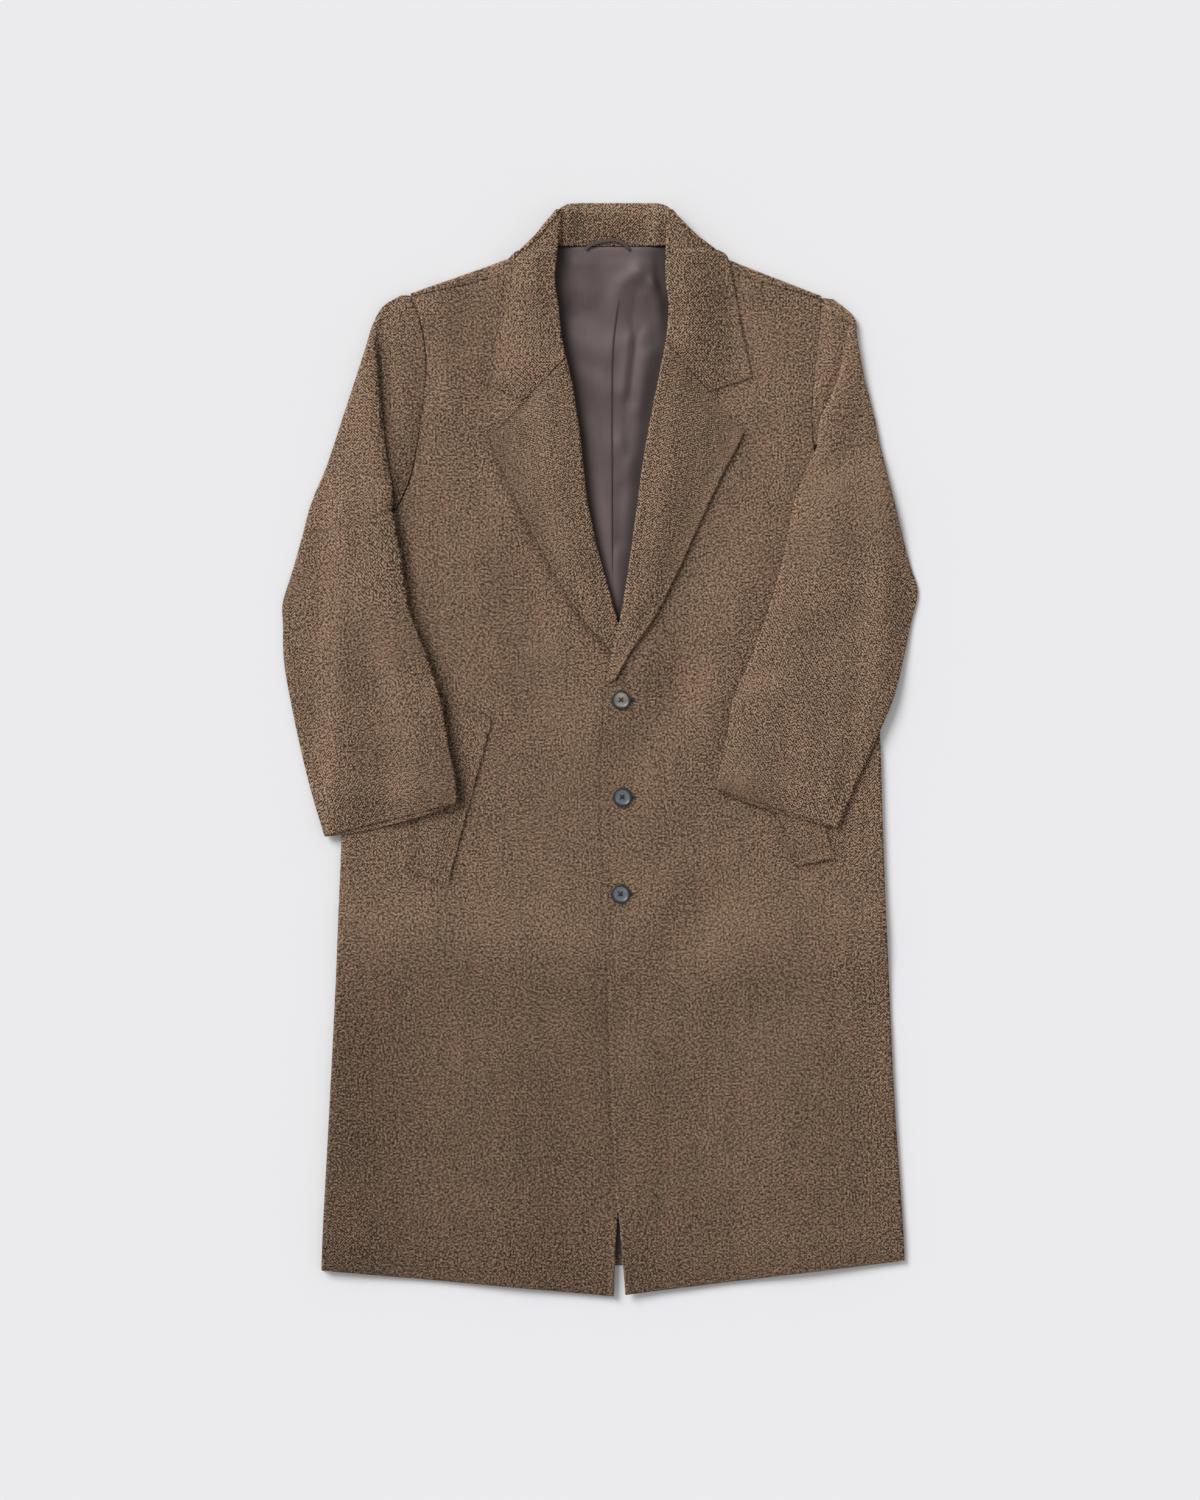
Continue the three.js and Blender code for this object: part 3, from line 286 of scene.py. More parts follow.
def crease(row, x, y):
    """Height of one crease at a place: a soft ridge that fades towards both ends."""
    dx, dy = row["x1"] - row["x0"], row["y1"] - row["y0"]
    along = ((x - row["x0"]) * dx + (y - row["y0"]) * dy) / (dx * dx + dy * dy)
    near = clamp(along)
    off = math.hypot(x - row["x0"] - dx * near, y - row["y0"] - dy * near) / row["width"]
    return 0.0 if off > CREASE_REACH else row["height"] * math.exp(-off * off)


def roll_stand(x, y):
    """The roll of collar and lapels is springy: it stands up and lets the cloth slope away from it."""
    high = LAPEL_STAND * ramp(y, *LAPEL_STAND_Y) + COLLAR_STAND * ramp(y, *COLLAR_STAND_Y)
    left, right = edge_x("left", y) - x, x - edge_x("right", y)
    if left < 0 and right < 0:
        return high * (1 - ramp(min(-left, -right), *OPENING_FADE))
    return high * (1 - ramp(max(left, right), 0, STAND_SLOPE))


def swell(x, y):
    """How far the fronts and all that lies on them rise above the flat stack."""
    total = SWELL_REST + sum(crease(row, x, y) for row in FRONT_CREASES) + roll_stand(x, y)
    return clamp(total, 0.0, SWELL_MOST)


def settle_body(x, y, z):
    """The body's cloth follows the swell from the top of its folds on, and stays flat on the floor."""
    return z + swell(x, y) * ramp(z, BACK_Z + 0.2, FRONT_Z)


def settle_back(x, y, z):
    """Only the part of a back that rolls over the shoulder leaves the floor."""
    return z + swell(x, y) * ramp(z - neck_lift(x, y, 0), BACK_Z + 0.2, FRONT_Z)


# %% [markdown]
# ## From rows of points to cloth
# `Cloth` collects rows of points on the middle of a wall of cloth, together with the place of each point
# on the flat pattern, which later guides the weave. A second map holds painted light: how far the cloth
# slopes towards the key light, so that slopes facing it are painted lighter and slopes facing away darker,
# and a painted shade that is lighter towards the top and darker towards the hem. `build` makes the two faces
# and rounds every free edge, as pressed cloth is round there. Two such rounded edges side by side read as a
# sewn seam.

# %% Cloth from rows of points
# Painted light: the direction in plan that the key light comes from, and the most that a slope may paint the
# cloth lighter or darker.
PAINTED_LIGHT_FROM = Vector((-0.7, 0.72, 0))
PAINTED_SLOPE_MOST = 0.13


class Cloth:
    def __init__(self, settle=None):
        self.settle = settle or (lambda x, y, z: z)
        self.points, self.grain, self.index, self.quads = [], [], {}, []

    def vertex(self, point, grain):
        key = tuple(round(v * 500) for v in point)
        if key not in self.index:
            x, y, z = point
            self.index[key] = len(self.points)
            self.points.append(Vector((x, y, self.settle(x, y, z))))
            self.grain.append(grain)
        return self.index[key]

    def grid(self, rows, mirrored=False, grain=None):
        """Adds the faces between rows of points. grain gives the place on the pattern, else it is (x, y)."""
        ids = [[self.vertex(p, grain[j][i] if grain else (p[0], p[1])) for i, p in enumerate(row)]
               for j, row in enumerate(rows)]
        for low, high in zip(ids, ids[1:]):
            for i in range(len(low) - 1):
                quad = (low[i], low[i + 1], high[i + 1], high[i])
                if len(set(quad)) > 2:
                    self.quads.append(quad[::-1] if mirrored else quad)
        return self

    def normals(self):
        normals = [Vector() for _ in self.points]
        for quad in self.quads:
            a, b, c, d = (self.points[i] for i in quad)
            across = (c - a).cross(d - b)
            for i in set(quad):
                normals[i] += across
        return [n.normalized() for n in normals]

    def area(self):
        """Area of the middle of the cloth, in square metres."""
        total = 0.0
        for quad in self.quads:
            a, b, c, d = (self.points[i] for i in quad)
            total += ((c - a).cross(d - b)).length / 2
        return total * MM * MM

    def build(self, name, wall=CLOTH, round_by=0.8, shade=None):
        half = wall / 2
        normals = self.normals()
        used = {}
        for quad in self.quads:
            for i in range(4):
                if quad[i] != quad[(i + 1) % 4]:
                    used[(quad[i], quad[(i + 1) % 4])] = True
        rim = [edge for edge in used if edge[::-1] not in used]
        outward = {}
        for a, b in rim:
            out = (self.points[b] - self.points[a]).cross(normals[a] + normals[b]).normalized()
            for i in (a, b):
                outward[i] = outward.get(i, Vector()) + out
        verts, grain, painted_light_map, sides = [], [], [], {}
        # Painted light on slopes: cloth facing the key light is painted lighter, cloth facing away darker.
        # The second value is painted shade, lighter towards the top and darker towards the hem unless the
        # piece paints its own.
        painted_slope_light = [clamp(Vector(n).dot(PAINTED_LIGHT_FROM) * (1 if n.z > 0 else -1), -PAINTED_SLOPE_MOST, PAINTED_SLOPE_MOST) for n in normals]
        high = [shade(p) if shade else p.y / 1000 for p in self.points]
        for sign in (1, -1):
            for i, (point, normal) in enumerate(zip(self.points, normals)):
                pulled = outward[i].normalized() * half * round_by if i in outward else Vector()
                verts.append((point + normal * half * sign - pulled) * MM)
                grain.append(self.grain[i])
                painted_light_map.append((painted_slope_light[i], high[i]))
        for i, out in outward.items():
            sides[i] = [len(verts) + k for k in range(3)]
            out = out.normalized() * half * round_by
            for sign, inset in ((0.75, 0.3), (0, 0), (-0.75, 0.3)):
                verts.append((self.points[i] + normals[i] * half * sign - out * inset) * MM)
                grain.append(self.grain[i])
                painted_light_map.append((painted_slope_light[i], high[i]))
        count = len(self.points)
        faces = []
        for quad in self.quads:
            ring = [quad[i] for i in range(4) if quad[i] != quad[i - 1]]
            faces.append(ring)
            faces.append([i + count for i in reversed(ring)])
        for a, b in rim:
            chain_a = [a, *sides[a], a + count]
            chain_b = [b, *sides[b], b + count]
            for k in range(4):
                faces.append([chain_b[k], chain_a[k], chain_a[k + 1], chain_b[k + 1]])
        verts = [(x, y, max(z, 0.0)) for x, y, z in verts]
        mesh = bpy.data.meshes.new(name)
        mesh.from_pydata(verts, [], faces)
        for map_name, values in (("pattern", grain), ("painted_light_map", painted_light_map)):
            places = [value for loop in mesh.loops for value in values[loop.vertex_index]]
            mesh.uv_layers.new(name=map_name).data.foreach_set("uv", places)
        mesh.polygons.foreach_set("use_smooth", [True] * len(mesh.polygons))
        thing = bpy.data.objects.new(name, mesh)
        bpy.context.scene.collection.objects.link(thing)
        upright = bmesh.new()
        upright.from_mesh(mesh)
        bmesh.ops.recalc_face_normals(upright, faces=upright.faces)
        upright.to_mesh(mesh)
        upright.free()
        thing["cloth_area"] = self.area()
        print(name, "faces", len(mesh.polygons), "cloth", round(self.area(), 4), "m2")
        return thing


# %% [markdown]
# ## Rows across a panel
# A front or a back is laid in rows from the side to the middle. At the side the cloth turns down or up
# over the fold, so each row starts with a small lip that rounds it.

# %% Rows across a panel
LIP = [math.radians(deg) for deg in (0, 10, 30, 50, 70, 90)]
BODY_ROWS = 150
ARM_ROWS = 56
FRONT_COLUMNS = 74
BACK_COLUMNS = 30


def across_row(start, end, height, lip, towards, count, crowd=1.0):
    """A row from the side to the middle; crowd above 1 sets its points closer together at the end."""
    length = math.dist(start, end)

    def place(run):
        return lerp(start[0], end[0], run / length), lerp(start[1], end[1], run / length)

    row = []
    for turn in LIP:
        x, y = place(HALF * lip + FOLD_R * (1 - math.cos(turn)))
        row.append((x, y, height(x, y) + towards * (FOLD_R - LIP_END) * (1 - math.sin(turn)) * lip))
    for t in steps(count)[1:]:
        x, y = place(lerp(HALF * lip + FOLD_R, length, 1 - (1 - t) ** crowd))
        row.append((x, y, height(x, y)))
    return row


def side_ends(side, body_rows, arm_rows, ease):
    """(point, lip, share) of each row's end at the side, from hem to underarm and round the armhole."""
    ends = []
    for t in steps(body_rows):
        y = lerp(SIDE[side][0]["y"], UNDERARM_Y, t)
        ends.append(((side_x(side, y), y), ramp(1 - t, 0, 0.02), t))
    ends += [(armhole(side, t, 0, ease), 0, 1 + t) for t in steps(arm_rows)[1:]]
    return ends


def shoulder_seam_y(side, x):
    start, end = armhole(side, 1), NECK[side]["seam"]
    return lerp(start[1] - 1, end[1], clamp((x - start[0]) / (end[0] - start[0])))


# %% [markdown]
# ## The fronts
# Each front runs from the side fold to the front edge. Above the top button it ends inside the roll of the
# lapel, and at the neck it ends at the collar seam. The doubled edge and the turned-up hem of a real coat
# show as a faint ledge, so a shallow step a few centimetres inside each edge is added to the height.

# %% Fronts
HEM_DEPTH = 42
EDGE_LEDGE = 0.35
EDGE_BORDER, EDGE_BORDER_X, EDGE_BORDER_TO = 1.0, (2, 8), (40, 70)
OPENING_Y = (40, 75)


def ledge(side, x, y):
    """The soft step where the hem allowance and the facing inside the front end."""
    hem_y = lerp(HEM_EDGE_Y[side], SIDE[side][0]["y"], clamp((x - edge_x(side, -600)) / (SIGN[side] * 320)))
    return EDGE_LEDGE * (1 - ramp(y - hem_y, HEM_DEPTH - 3, HEM_DEPTH + 3))


def edge_border(side, x, y):
    """The seam allowance inside the front edge makes a narrow thicker border."""
    across = 1 - ramp(abs(x - edge_x(side, y)), *EDGE_BORDER_X)
    return EDGE_BORDER * across * (1 - ramp(y, *EDGE_BORDER_TO))


def front_end(side, y):
    inset = ramp(y, *OPENING_Y) * (HALF + roll_radius(side, y) + ROLL_CLEAR)
    neck = ramp(y, GORGE_Y[side] - 8, NECK[side]["seam"][1])
    return lerp(edge_x(side, y) + SIGN[side] * inset, NECK[side]["seam"][0], neck), y


def front(side):
    def height(x, y):
        return front_z(side, x, y) + ledge(side, x, y) + edge_border(side, x, y)

    rows = []
    for start, lip, share in side_ends(side, BODY_ROWS, ARM_ROWS, 0):
        if share > 1:
            y = lerp(EDGE_UNDERARM_Y[side], NECK[side]["seam"][1], share - 1)
        else:
            y = lerp(HEM_EDGE_Y[side], EDGE_UNDERARM_Y[side], share)
        rows.append(across_row(start, front_end(side, y), height, lip, -1, FRONT_COLUMNS, 1.35))
    rows[-1] = [(x, shoulder_seam_y(side, x) - 2 * SEAM, z) for x, y, z in rows[-1]]
    return Cloth(settle_body).grid(rows, side == "right").build(f"front_{side}_cloth")


fronts = {side: front(side) for side in SIGN}

# %% [markdown]
# ## The back
# Two back halves lie on the floor with the centre back seam between them. At the top each half rolls over
# the shoulder, and its narrow strip meets the front at the shoulder seam, which is why that seam lies in
# front of the shoulder's edge.

# %% Back halves
INNER_COLUMNS = 14
BACK_ROWS, BACK_ARM_ROWS = 76, 44
ROLL_STEPS, STRIP_STEPS = 8, 5
STRIP_LEAST = 0.6


def back(side):
    centre = CENTRE_X + SIGN[side] * SEAM / 2
    neck_x, neck_y = NECK[side]["fold"]
    ends = side_ends(side, BACK_ROWS, BACK_ARM_ROWS, ARM_EASE)
    share_x = abs(neck_x - centre) / abs(ends[-1][0][0] - centre)
    rows = []
    for start, lip, share in ends:
        top = max(0.0, share - 1)
        below = lerp(HEM_CENTRE_Y, CENTRE_UNDERARM_Y, share)
        centre_y = lerp(CENTRE_UNDERARM_Y, NECK_Y - SEAM, top) if top > 0 else below
        knee = (lerp(lerp(centre, start[0], share_x), neck_x, ramp(top, 0.3, 1)),
                lerp(lerp(centre_y, start[1], share_x), neck_y - HALF - FOLD_R, ramp(top, 0.3, 1)))
        row = across_row(start, knee, back_z, lip, 1, BACK_COLUMNS)
        for k in steps(INNER_COLUMNS)[1:]:
            x, y = lerp(knee[0], centre, k), lerp(knee[1], centre_y, k)
            row.append((x, y, back_z(x, y)))
        rows.append(row)
    cloth = Cloth(settle_back).grid(rows, side == "right")
    top = rows[-1][:-INNER_COLUMNS]
    roll = []
    for k in steps(ROLL_STEPS):
        ahead, up = FOLD_R * math.sin(k * math.pi), FOLD_R * (1 - math.cos(k * math.pi))
        roll.append([(x, y + ahead, z + up) for x, y, z in top])
    for k in steps(STRIP_STEPS)[1:]:
        roll.append([(x, lerp(y, min(shoulder_seam_y(side, x), y - STRIP_LEAST), k), z + 2 * FOLD_R)
                     for x, y, z in top])
    return cloth.grid(roll, side == "right").build(f"back_{side}_cloth")


backs = {side: back(side) for side in SIGN}

# %% [markdown]
# ## The lining
# The satin lining shows in the neck opening. It is cut wider than the back, and the extra width lies in a
# pleat down the middle, whose edge is the thin dark line. Light satin never lies flat, so its folds are
# deeper and sharper than those of the wool.

# %% Lining with its centre pleat
PLEAT_LINE = table("y x", (172, 13.8), (290, 13.4), (400, 13.2), (440, 13.6), (470, 15.2), (498, 18.6),
                   (523, 21.8))
PLEAT_STEP = 1.9
PLEAT_TOP = 523
PLEAT_FADE = 26
PLEAT_WIDTH = 60
LINING_SWELL = 1.6
LINING_ROWS, LINING_COLUMNS = 260, 50
NECK_IN, NECK_OUT = (0.36, 230, 420), (0.3, 470, 560)
# Painted shadow on the lining: how far it reaches from the rolls of collar and lapels, and how dark it is in
# the top corners.
DAYLIGHT_NEAR, DAYLIGHT_FAR, DAYLIGHT_Y = 9, 27, (180, 420)
DAYLIGHT_RIGHT, DAYLIGHT_POWER = 0.3, 0.8
CORNER_SHADE, CORNER_SHADE_Y, CORNER_SHADE_X = 0.5, (520, 566), (8, 40)
LINING_HALF = {"left": 255, "right": 250}
LINING_CREASES = table(
    CREASE,
    (-40, 470, 6, 452, 17, 1.9), (-38, 508, 10, 486, 18, -1.5), (-28, 430, 8, 412, 14, 1.5),
    (-26, 448, -4, 440, 10, -0.7), (-20, 398, 10, 376, 16, -1.3), (-16, 366, 8, 340, 15, 1.3),
    (-8, 316, 12, 290, 16, -1.1), (-2, 270, 14, 250, 14, 1.0), (26, 536, 44, 548, 9, 2.0),
    (44, 548, 60, 534, 9, 2.2), (60, 534, 74, 492, 8, 2.4), (48, 528, 44, 492, 11, -2.4),
    (58, 512, 66, 470, 8, -1.6), (42, 484, 34, 400, 5, -2.2), (34, 470, 28, 410, 8, 1.8),
    (52, 450, 44, 390, 8, 1.6), (34, 400, 32, 340, 8, -1.6), (24, 352, 40, 318, 8, 1.4),
    (26, 300, 24, 240, 8, -1.0), (-40, 552, -34, 506, 9, -2.6), (-26, 556, -14, 520, 13, 1.6),
    (70, 566, 72, 528, 7, -2.4), (0, 552, 8, 530, 10, -0.9), (18, 520, 20, 470, 12, 0.8),
    (-40, 566, 60, 566, 5, -0.9), (20, 220, 18, 160, 8, 1.0),
)


def in_opening(x, y):
    """1 in the open neck, falling to 0 under the lapels."""
    inside = ramp(x - edge_x("left", y), 2, 22) * ramp(edge_x("right", y) - x, 0, 16)
    return inside * ramp(y, 90, 150) * (1 - ramp(y, NECK_Y - 12, NECK_Y - 1))


def lining_z(x, y):
    slit = lookup(PLEAT_LINE, "y", "x", y)
    across = (1 - ramp(x, slit - 0.2, slit + 0.9)) * (1 - ramp(slit - x, 2, PLEAT_WIDTH))
    pleat = PLEAT_STEP * across * (1 - ramp(y, PLEAT_TOP - PLEAT_FADE, PLEAT_TOP))
    folds = LINING_SWELL + sum(crease(row, x, y) for row in LINING_CREASES)
    return LINING_Z + neck_lift(x, y, LINING_LEAD) + in_opening(x, y) * (max(0.0, folds) + pleat)


def painted_daylight(p):
    """Painted shadow of the rolls on the lining: 1 in the middle of the open neck, 0 right beside the rolls
    of collar and lapels.
    """
    left, right = p.x - edge_x("left", p.y), edge_x("right", p.y) - p.x
    deep = DAYLIGHT_FAR * ramp(p.y, *DAYLIGHT_Y) + DAYLIGHT_NEAR
    corner = 1 - CORNER_SHADE * ramp(p.y, *CORNER_SHADE_Y) * (1 - ramp(min(left, right), *CORNER_SHADE_X))
    from_right = lerp(DAYLIGHT_RIGHT, 1, ramp(right, 0, deep))
    return ramp(left, -2, deep) ** DAYLIGHT_POWER * from_right * corner


def lining():
    shares = steps(LINING_COLUMNS)
    rows = []
    for t in steps(LINING_ROWS):
        y = lerp(HEM_LINING_Y, NECK_Y - 2 * SEAM, t)
        wide = 1 - NECK_IN[0] * ramp(y, *NECK_IN[1:]) - NECK_OUT[0] * ramp(y, *NECK_OUT[1:])
        left, right = CENTRE_X - LINING_HALF["left"] * wide, CENTRE_X + LINING_HALF["right"] * wide
        slit = lookup(PLEAT_LINE, "y", "x", y)
        xs = [lerp(left, slit - 3, k ** 0.6) for k in shares[:-1]]
        xs += [slit - 3, slit - 1.5, slit - 0.2, slit + 0.2, slit + 0.6, slit + 0.9, slit + 2]
        xs += [lerp(slit + 2, right, k ** 1.6) for k in shares[1:]]
        rows.append([(x, y, lining_z(x, y)) for x in xs])
    # The lining's second map carries the painted shadow beside the rolls.
    return Cloth().grid(rows).build("back_lining_cloth", LINING, shade=painted_daylight)


lining_cloth = lining()

# %% [markdown]
# ## Lapels
# A lapel is the front turned back on itself. Each of its rows starts under the roll, goes round it and
# then lies on the front as far as the lapel's edge. The seam allowance inside makes a slightly thicker
# border, and the lapel springs up a little between roll and edge.

# %% Lapels
LAPEL = {
    "left": table("roll_y x y", (449, -127, 361), (415, -121, 344), (370, -111, 320), (320, -97, 291),
                  (270, -81, 257), (225, -62, 222), (190, -43, 188), (152, -20, 151), (128, 1, 127),
                  (108, 18, 107)),
    "right": table("roll_y x y", (468, 164.5, 364), (425, 157, 346), (380, 145, 325), (325, 130, 293),
                   (275, 114, 259), (225, 97, 221), (180, 78, 181), (145, 59, 146), (112, 36, 113),
                   (78, 17, 79)),
}
BORDER = 7.5
BORDER_HEIGHT = {"left": 1.5, "right": 0.8}
SPRING = 2.2
RADIUS_LEAD = 4.5
STUB = 0.4
ROLL_TURN_STEPS = 9
LAPEL_ROWS, LAPEL_COLUMNS = 104, 34
LEG_FROM = (238, 275)
FACING_STRETCH = 1.04


def rolled_row(edge, outer, bend, count, height, radius, leg):
    """A row across a rolled edge: the leg under the roll, the turn, then the cloth that lies on top."""
    length = math.dist(edge, outer)

    def place(run):
        bow = bend * (1 - abs(2 * run / length - 1))
        return lerp(edge[0], outer[0], run / length), lerp(edge[1], outer[1], run / length) + bow

    start = HALF + radius
    top = height(*place(start), start)
    low = top - 2 * radius
    row = [(*place(start + k * (STUB + leg)), low) for k in (1, 0.5)]
    for t in steps(ROLL_TURN_STEPS):
        turn = t * math.pi
        row.append((*place(start - radius * math.sin(turn)), low + radius * (1 - math.cos(turn))))
    for t in steps(count)[1:]:
        run = lerp(start, length / 2, t * 2) if t < 0.5 else length * t
        x, y = place(run)
        row.append((x, y, height(x, y, run)))
    return row


def raised(side, length, spring, notch=0.0):
    """Height on top of a front, with the border along the free edge and the spring between roll and edge."""
    def height(x, y, run):
        free = max(ramp(run, length - BORDER - 4, length - 1), notch * ramp(run, 0.4 * length, 0.5 * length))
        border = BORDER_HEIGHT[side] * free
        rise = spring * math.sin(math.pi * clamp(run / length)) ** 2
        return front_z(side, x, y) + LAYER + LAPEL_EASE + border + rise
    return height


def lapel(side):
    rows = LAPEL[side]
    grid, grain = [], []
    for t in steps(LAPEL_ROWS):
        at = t * (len(rows) - 1)
        y = column(rows, "roll_y", at)
        edge = (edge_x(side, y), y)
        outer = (column(rows, "x", at), column(rows, "y", at))
        spring = SPRING * ramp(t, 0, 0.12) * (1 - ramp(t, 0.6, 0.95))
        height = raised(side, math.dist(edge, outer), spring, 1 - ramp(t, 0.004, 0.024))
        radius, leg = roll_radius(side, y - RADIUS_LEAD), LEG * ramp(y, *LEG_FROM)
        grid.append(rolled_row(edge, outer, 0, LAPEL_COLUMNS, height, radius, leg))
        # The grain of the facing runs along the roll.
        grain.append([(math.dist(p[:2], edge), y * FACING_STRETCH) for p in grid[-1]])
    return Cloth(settle_body).grid(grid, side == "left", grain).build(f"lapel_{side}_cloth")


lapels = {side: lapel(side) for side in SIGN}

# %% [markdown]
# ## The collar
# One strip goes all the way round the neck. Behind the neck we see its inner side, the stand, which rolls
# over the top edge; its fall hides under the back. At both sides it folds over and comes to the front,
# rolls, and ends at the gorge, the seam between collar and lapel.

# %% Collar
COLLAR = {
    "left": table("roll_y x y bend", (617.5, -51, 618, 0), (611, -55.8, 611.5, 0), (600, -65, 601, 0),
                  (588, -77, 586.5, 0), (572, -92.5, 572, 0), (556, -104.6, 560, 0),
                  (538, -113.8, 538, 0), (517, -120, 508, -2), (492, -124.8, 476.7, -8),
                  (471, -131, 449, -20), (449, -138, 421.5, 0)),
    "right": table("roll_y x y bend", (617.5, 84, 618, 0), (611, 88.6, 611.5, 0), (600, 99, 601, 0),
                   (588, 112.7, 588, 0), (572, 133.4, 572.7, 0), (556, 146, 562.9, 0),
                   (540, 151.8, 538.8, 0), (522, 157.6, 509, -2), (502, 162.7, 480, -9),
                   (484, 168, 456, -21), (468, 174.5, 426.6, 0)),
}
COLLAR_ROWS = 75
COLLAR_COLUMNS = 30
TURN_STEPS = 8
LEG_CLEAR = 3.2
LEG_SHARE = 0.6
TURNED_SHARE = 0.4
FALL_SPRING = 2.4
FALL_SAG = 36
STAND_RISE, STAND_PEAK, STAND_END = 3.0, 0.25, 0.5
STAND_FLARE = 0.28


def fall_on_front(side):
    rows = COLLAR[side]
    last = len(rows) - 1
    tip = LAPEL[side][0]
    roll_x = edge_x(side, GORGE_Y[side])
    slope = (tip["y"] - GORGE_Y[side]) / (tip["x"] - roll_x)
    gorge = (slope * (rows[last]["x"] - roll_x) - (rows[last]["y"] - GORGE_Y[side])) / 2
    grid, turned = [], []
    for t in steps(COLLAR_ROWS):
        at = t * last
        bend = column(rows, "bend", at)
        if at > last - 1:
            bend = lerp(rows[last - 1]["bend"], gorge, at - last + 1)
        y = column(rows, "roll_y", at) + 1
        edge = (edge_x(side, y), y)
        outer = (column(rows, "x", at), column(rows, "y", at) + 1)
        seam = front_end(side, min(y, NECK[side]["seam"][1]))[0]
        leg = clamp(abs(seam - edge[0]) * LEG_SHARE - LEG_CLEAR, 0, LEG) * (1 - ramp(y, 560, 600))
        spring = FALL_SPRING * ramp(t, 0.25, 0.5) * (1 - ramp(t, 0.9, 1))
        height = raised(side, math.dist(edge, outer), spring)
        row = rolled_row(edge, outer, bend, COLLAR_COLUMNS, height, (LAYER + LAPEL_EASE) / 2, leg)
        if t <= TURNED_SHARE + 1e-6:
            x, row_y, z = row[-1]
            radius = (z - BACK_Z) / 2
            inner = x - SIGN[side] * (HALF + radius)
            first = len(row) - 1 - COLLAR_COLUMNS
            for k in steps(COLLAR_COLUMNS)[1:]:
                px, py = lerp(row[first][0], inner, k), lerp(row[first][1], row_y, k)
                flat = front_z(side, px, py) + LAYER + LAPEL_EASE
                row[first + round(k * COLLAR_COLUMNS)] = (px, py, flat if k < 1 else z)
            turned.append([(inner + SIGN[side] * radius * math.sin(k * math.pi), row_y,
                            z - radius * (1 - math.cos(k * math.pi))) for k in steps(TURN_STEPS)])
        grid.append(row)
    return grid, turned


# %% [markdown]
# The stand and the hidden fall join the two sides into one strip. The weave of the collar runs across the
# strip, so its place on the pattern is turned by a quarter.

# %% The whole collar
def collar():
    def quarter(rows):
        return [[(p[1], p[0]) for p in row] for row in rows]

    cloth = Cloth(settle_body)
    hidden = []
    for side in SIGN:
        grid, turned = fall_on_front(side)
        cloth.grid(grid, side == "right", quarter(grid)).grid(turned, side == "right", quarter(turned))
        ends = [row[-1] for row in turned]
        ends += [row[-1] for row in grid[len(turned):len(turned) + 8]]
        hidden.append(ends)
    rise = LAYER / 2
    top_y = COLLAR_TOP_Y - HALF - rise
    columns = steps(40)
    top_left, top_right = COLLAR_TOP_X["left"], COLLAR_TOP_X["right"]
    top_row = [(lerp(top_left, top_right, k), top_y - TOP_BOW * (2 * k - 1) ** TOP_BOW_POWER, BACK_Z)
               for k in columns]
    fall = []
    for i, (a, b) in enumerate(zip(*hidden)):
        sag = FALL_SAG * (i / (len(hidden[0]) - 1)) ** 2
        fall.append([(lerp(a[0], b[0], k), lerp(a[1], b[1], k) - sag * k * (1 - k),
                      lerp(a[2], b[2], k) if k in (0, 1) else BACK_Z) for k in columns])
    turn = []
    for t in steps(TURN_STEPS):
        ahead, up = rise * math.sin(t * math.pi), rise * (1 - math.cos(t * math.pi))
        turn.append([(x, y + ahead, BACK_Z + up) for x, y, z in top_row])
    stand = []
    for t in steps(16):
        peak = STAND_RISE * ramp(t, 0, STAND_PEAK) * (1 - ramp(t, STAND_PEAK, 1))
        z = BACK_Z + LAYER + peak + STAND_END * t
        flare = 1 + STAND_FLARE * t ** 0.5
        stand.append([(CENTRE_X + (x - CENTRE_X) * flare, lerp(y, NECK_Y + SEAM, t), z)
                      for x, y, _ in top_row])
    cloth.grid([top_row, *fall]).grid(turn, True).grid(stand, True)
    return cloth.build("collar_cloth")


collar_cloth = collar()

# %% [markdown]
# ## Pocket welts
# A welt is a narrow doubled band sewn over the pocket's slanted mouth. It is caught down at its short ends
# and stands off the front along its long edge, where the hand goes in.

# %% Pocket welts
WELT = {
    "left": {"top": [(-176, 50), (-124.2, 33.9)], "low": [(-220.8, -136.3), (-174.8, -155.8)]},
    "right": {"top": [(167.9, 43.1), (212.8, 56.9)], "low": [(224.3, -134), (269.1, -124.8)]},
}
WELT_NEAR, WELT_FAR = 12, 42
WELT_PUFF, WELT_SUNK, WELT_CURL = 0.7, 0.3, 0.9
WELT_WIDTH, WELT_LENGTH = 48, 190
WELT_GRAIN = (54, 11, 195)


def near_edge(k, t):
    """How far a place on a welt is from the nearest edge, in millimetres."""
    return min(min(k, 1 - k) * WELT_WIDTH, min(t, 1 - t) * WELT_LENGTH)


def welt(side):
    (ax, ay), (bx, by) = WELT[side]["top"]
    (cx, cy), (dx, dy) = WELT[side]["low"]
    rows, grain = [], []
    for t in steps(60):
        row = []
        for k in steps(16):
            x, y = lerp(lerp(ax, bx, k), lerp(cx, dx, k), t), lerp(lerp(ay, by, k), lerp(cy, dy, k), t)
            puff = WELT_PUFF * math.sin(math.pi * k) ** 0.7 * math.sin(math.pi * t) ** 0.4
            sunk = WELT_SUNK * ramp(k if side == "left" else 1 - k, 0.6, 1)
            curl = WELT_CURL * (1 - ramp(near_edge(k, t), 1, 6))
            row.append((x, y, front_z(side, x, y) + LAYER + puff - (sunk - curl)))
        rows.append(row)
        grain.append([(k * WELT_GRAIN[0] + WELT_GRAIN[1], -t * WELT_GRAIN[2]) for k in steps(16)])
    return Cloth(settle_body).grid(rows, False, grain).build(f"pocket_welt_{side}_cloth")


welts = {side: welt(side) for side in SIGN}


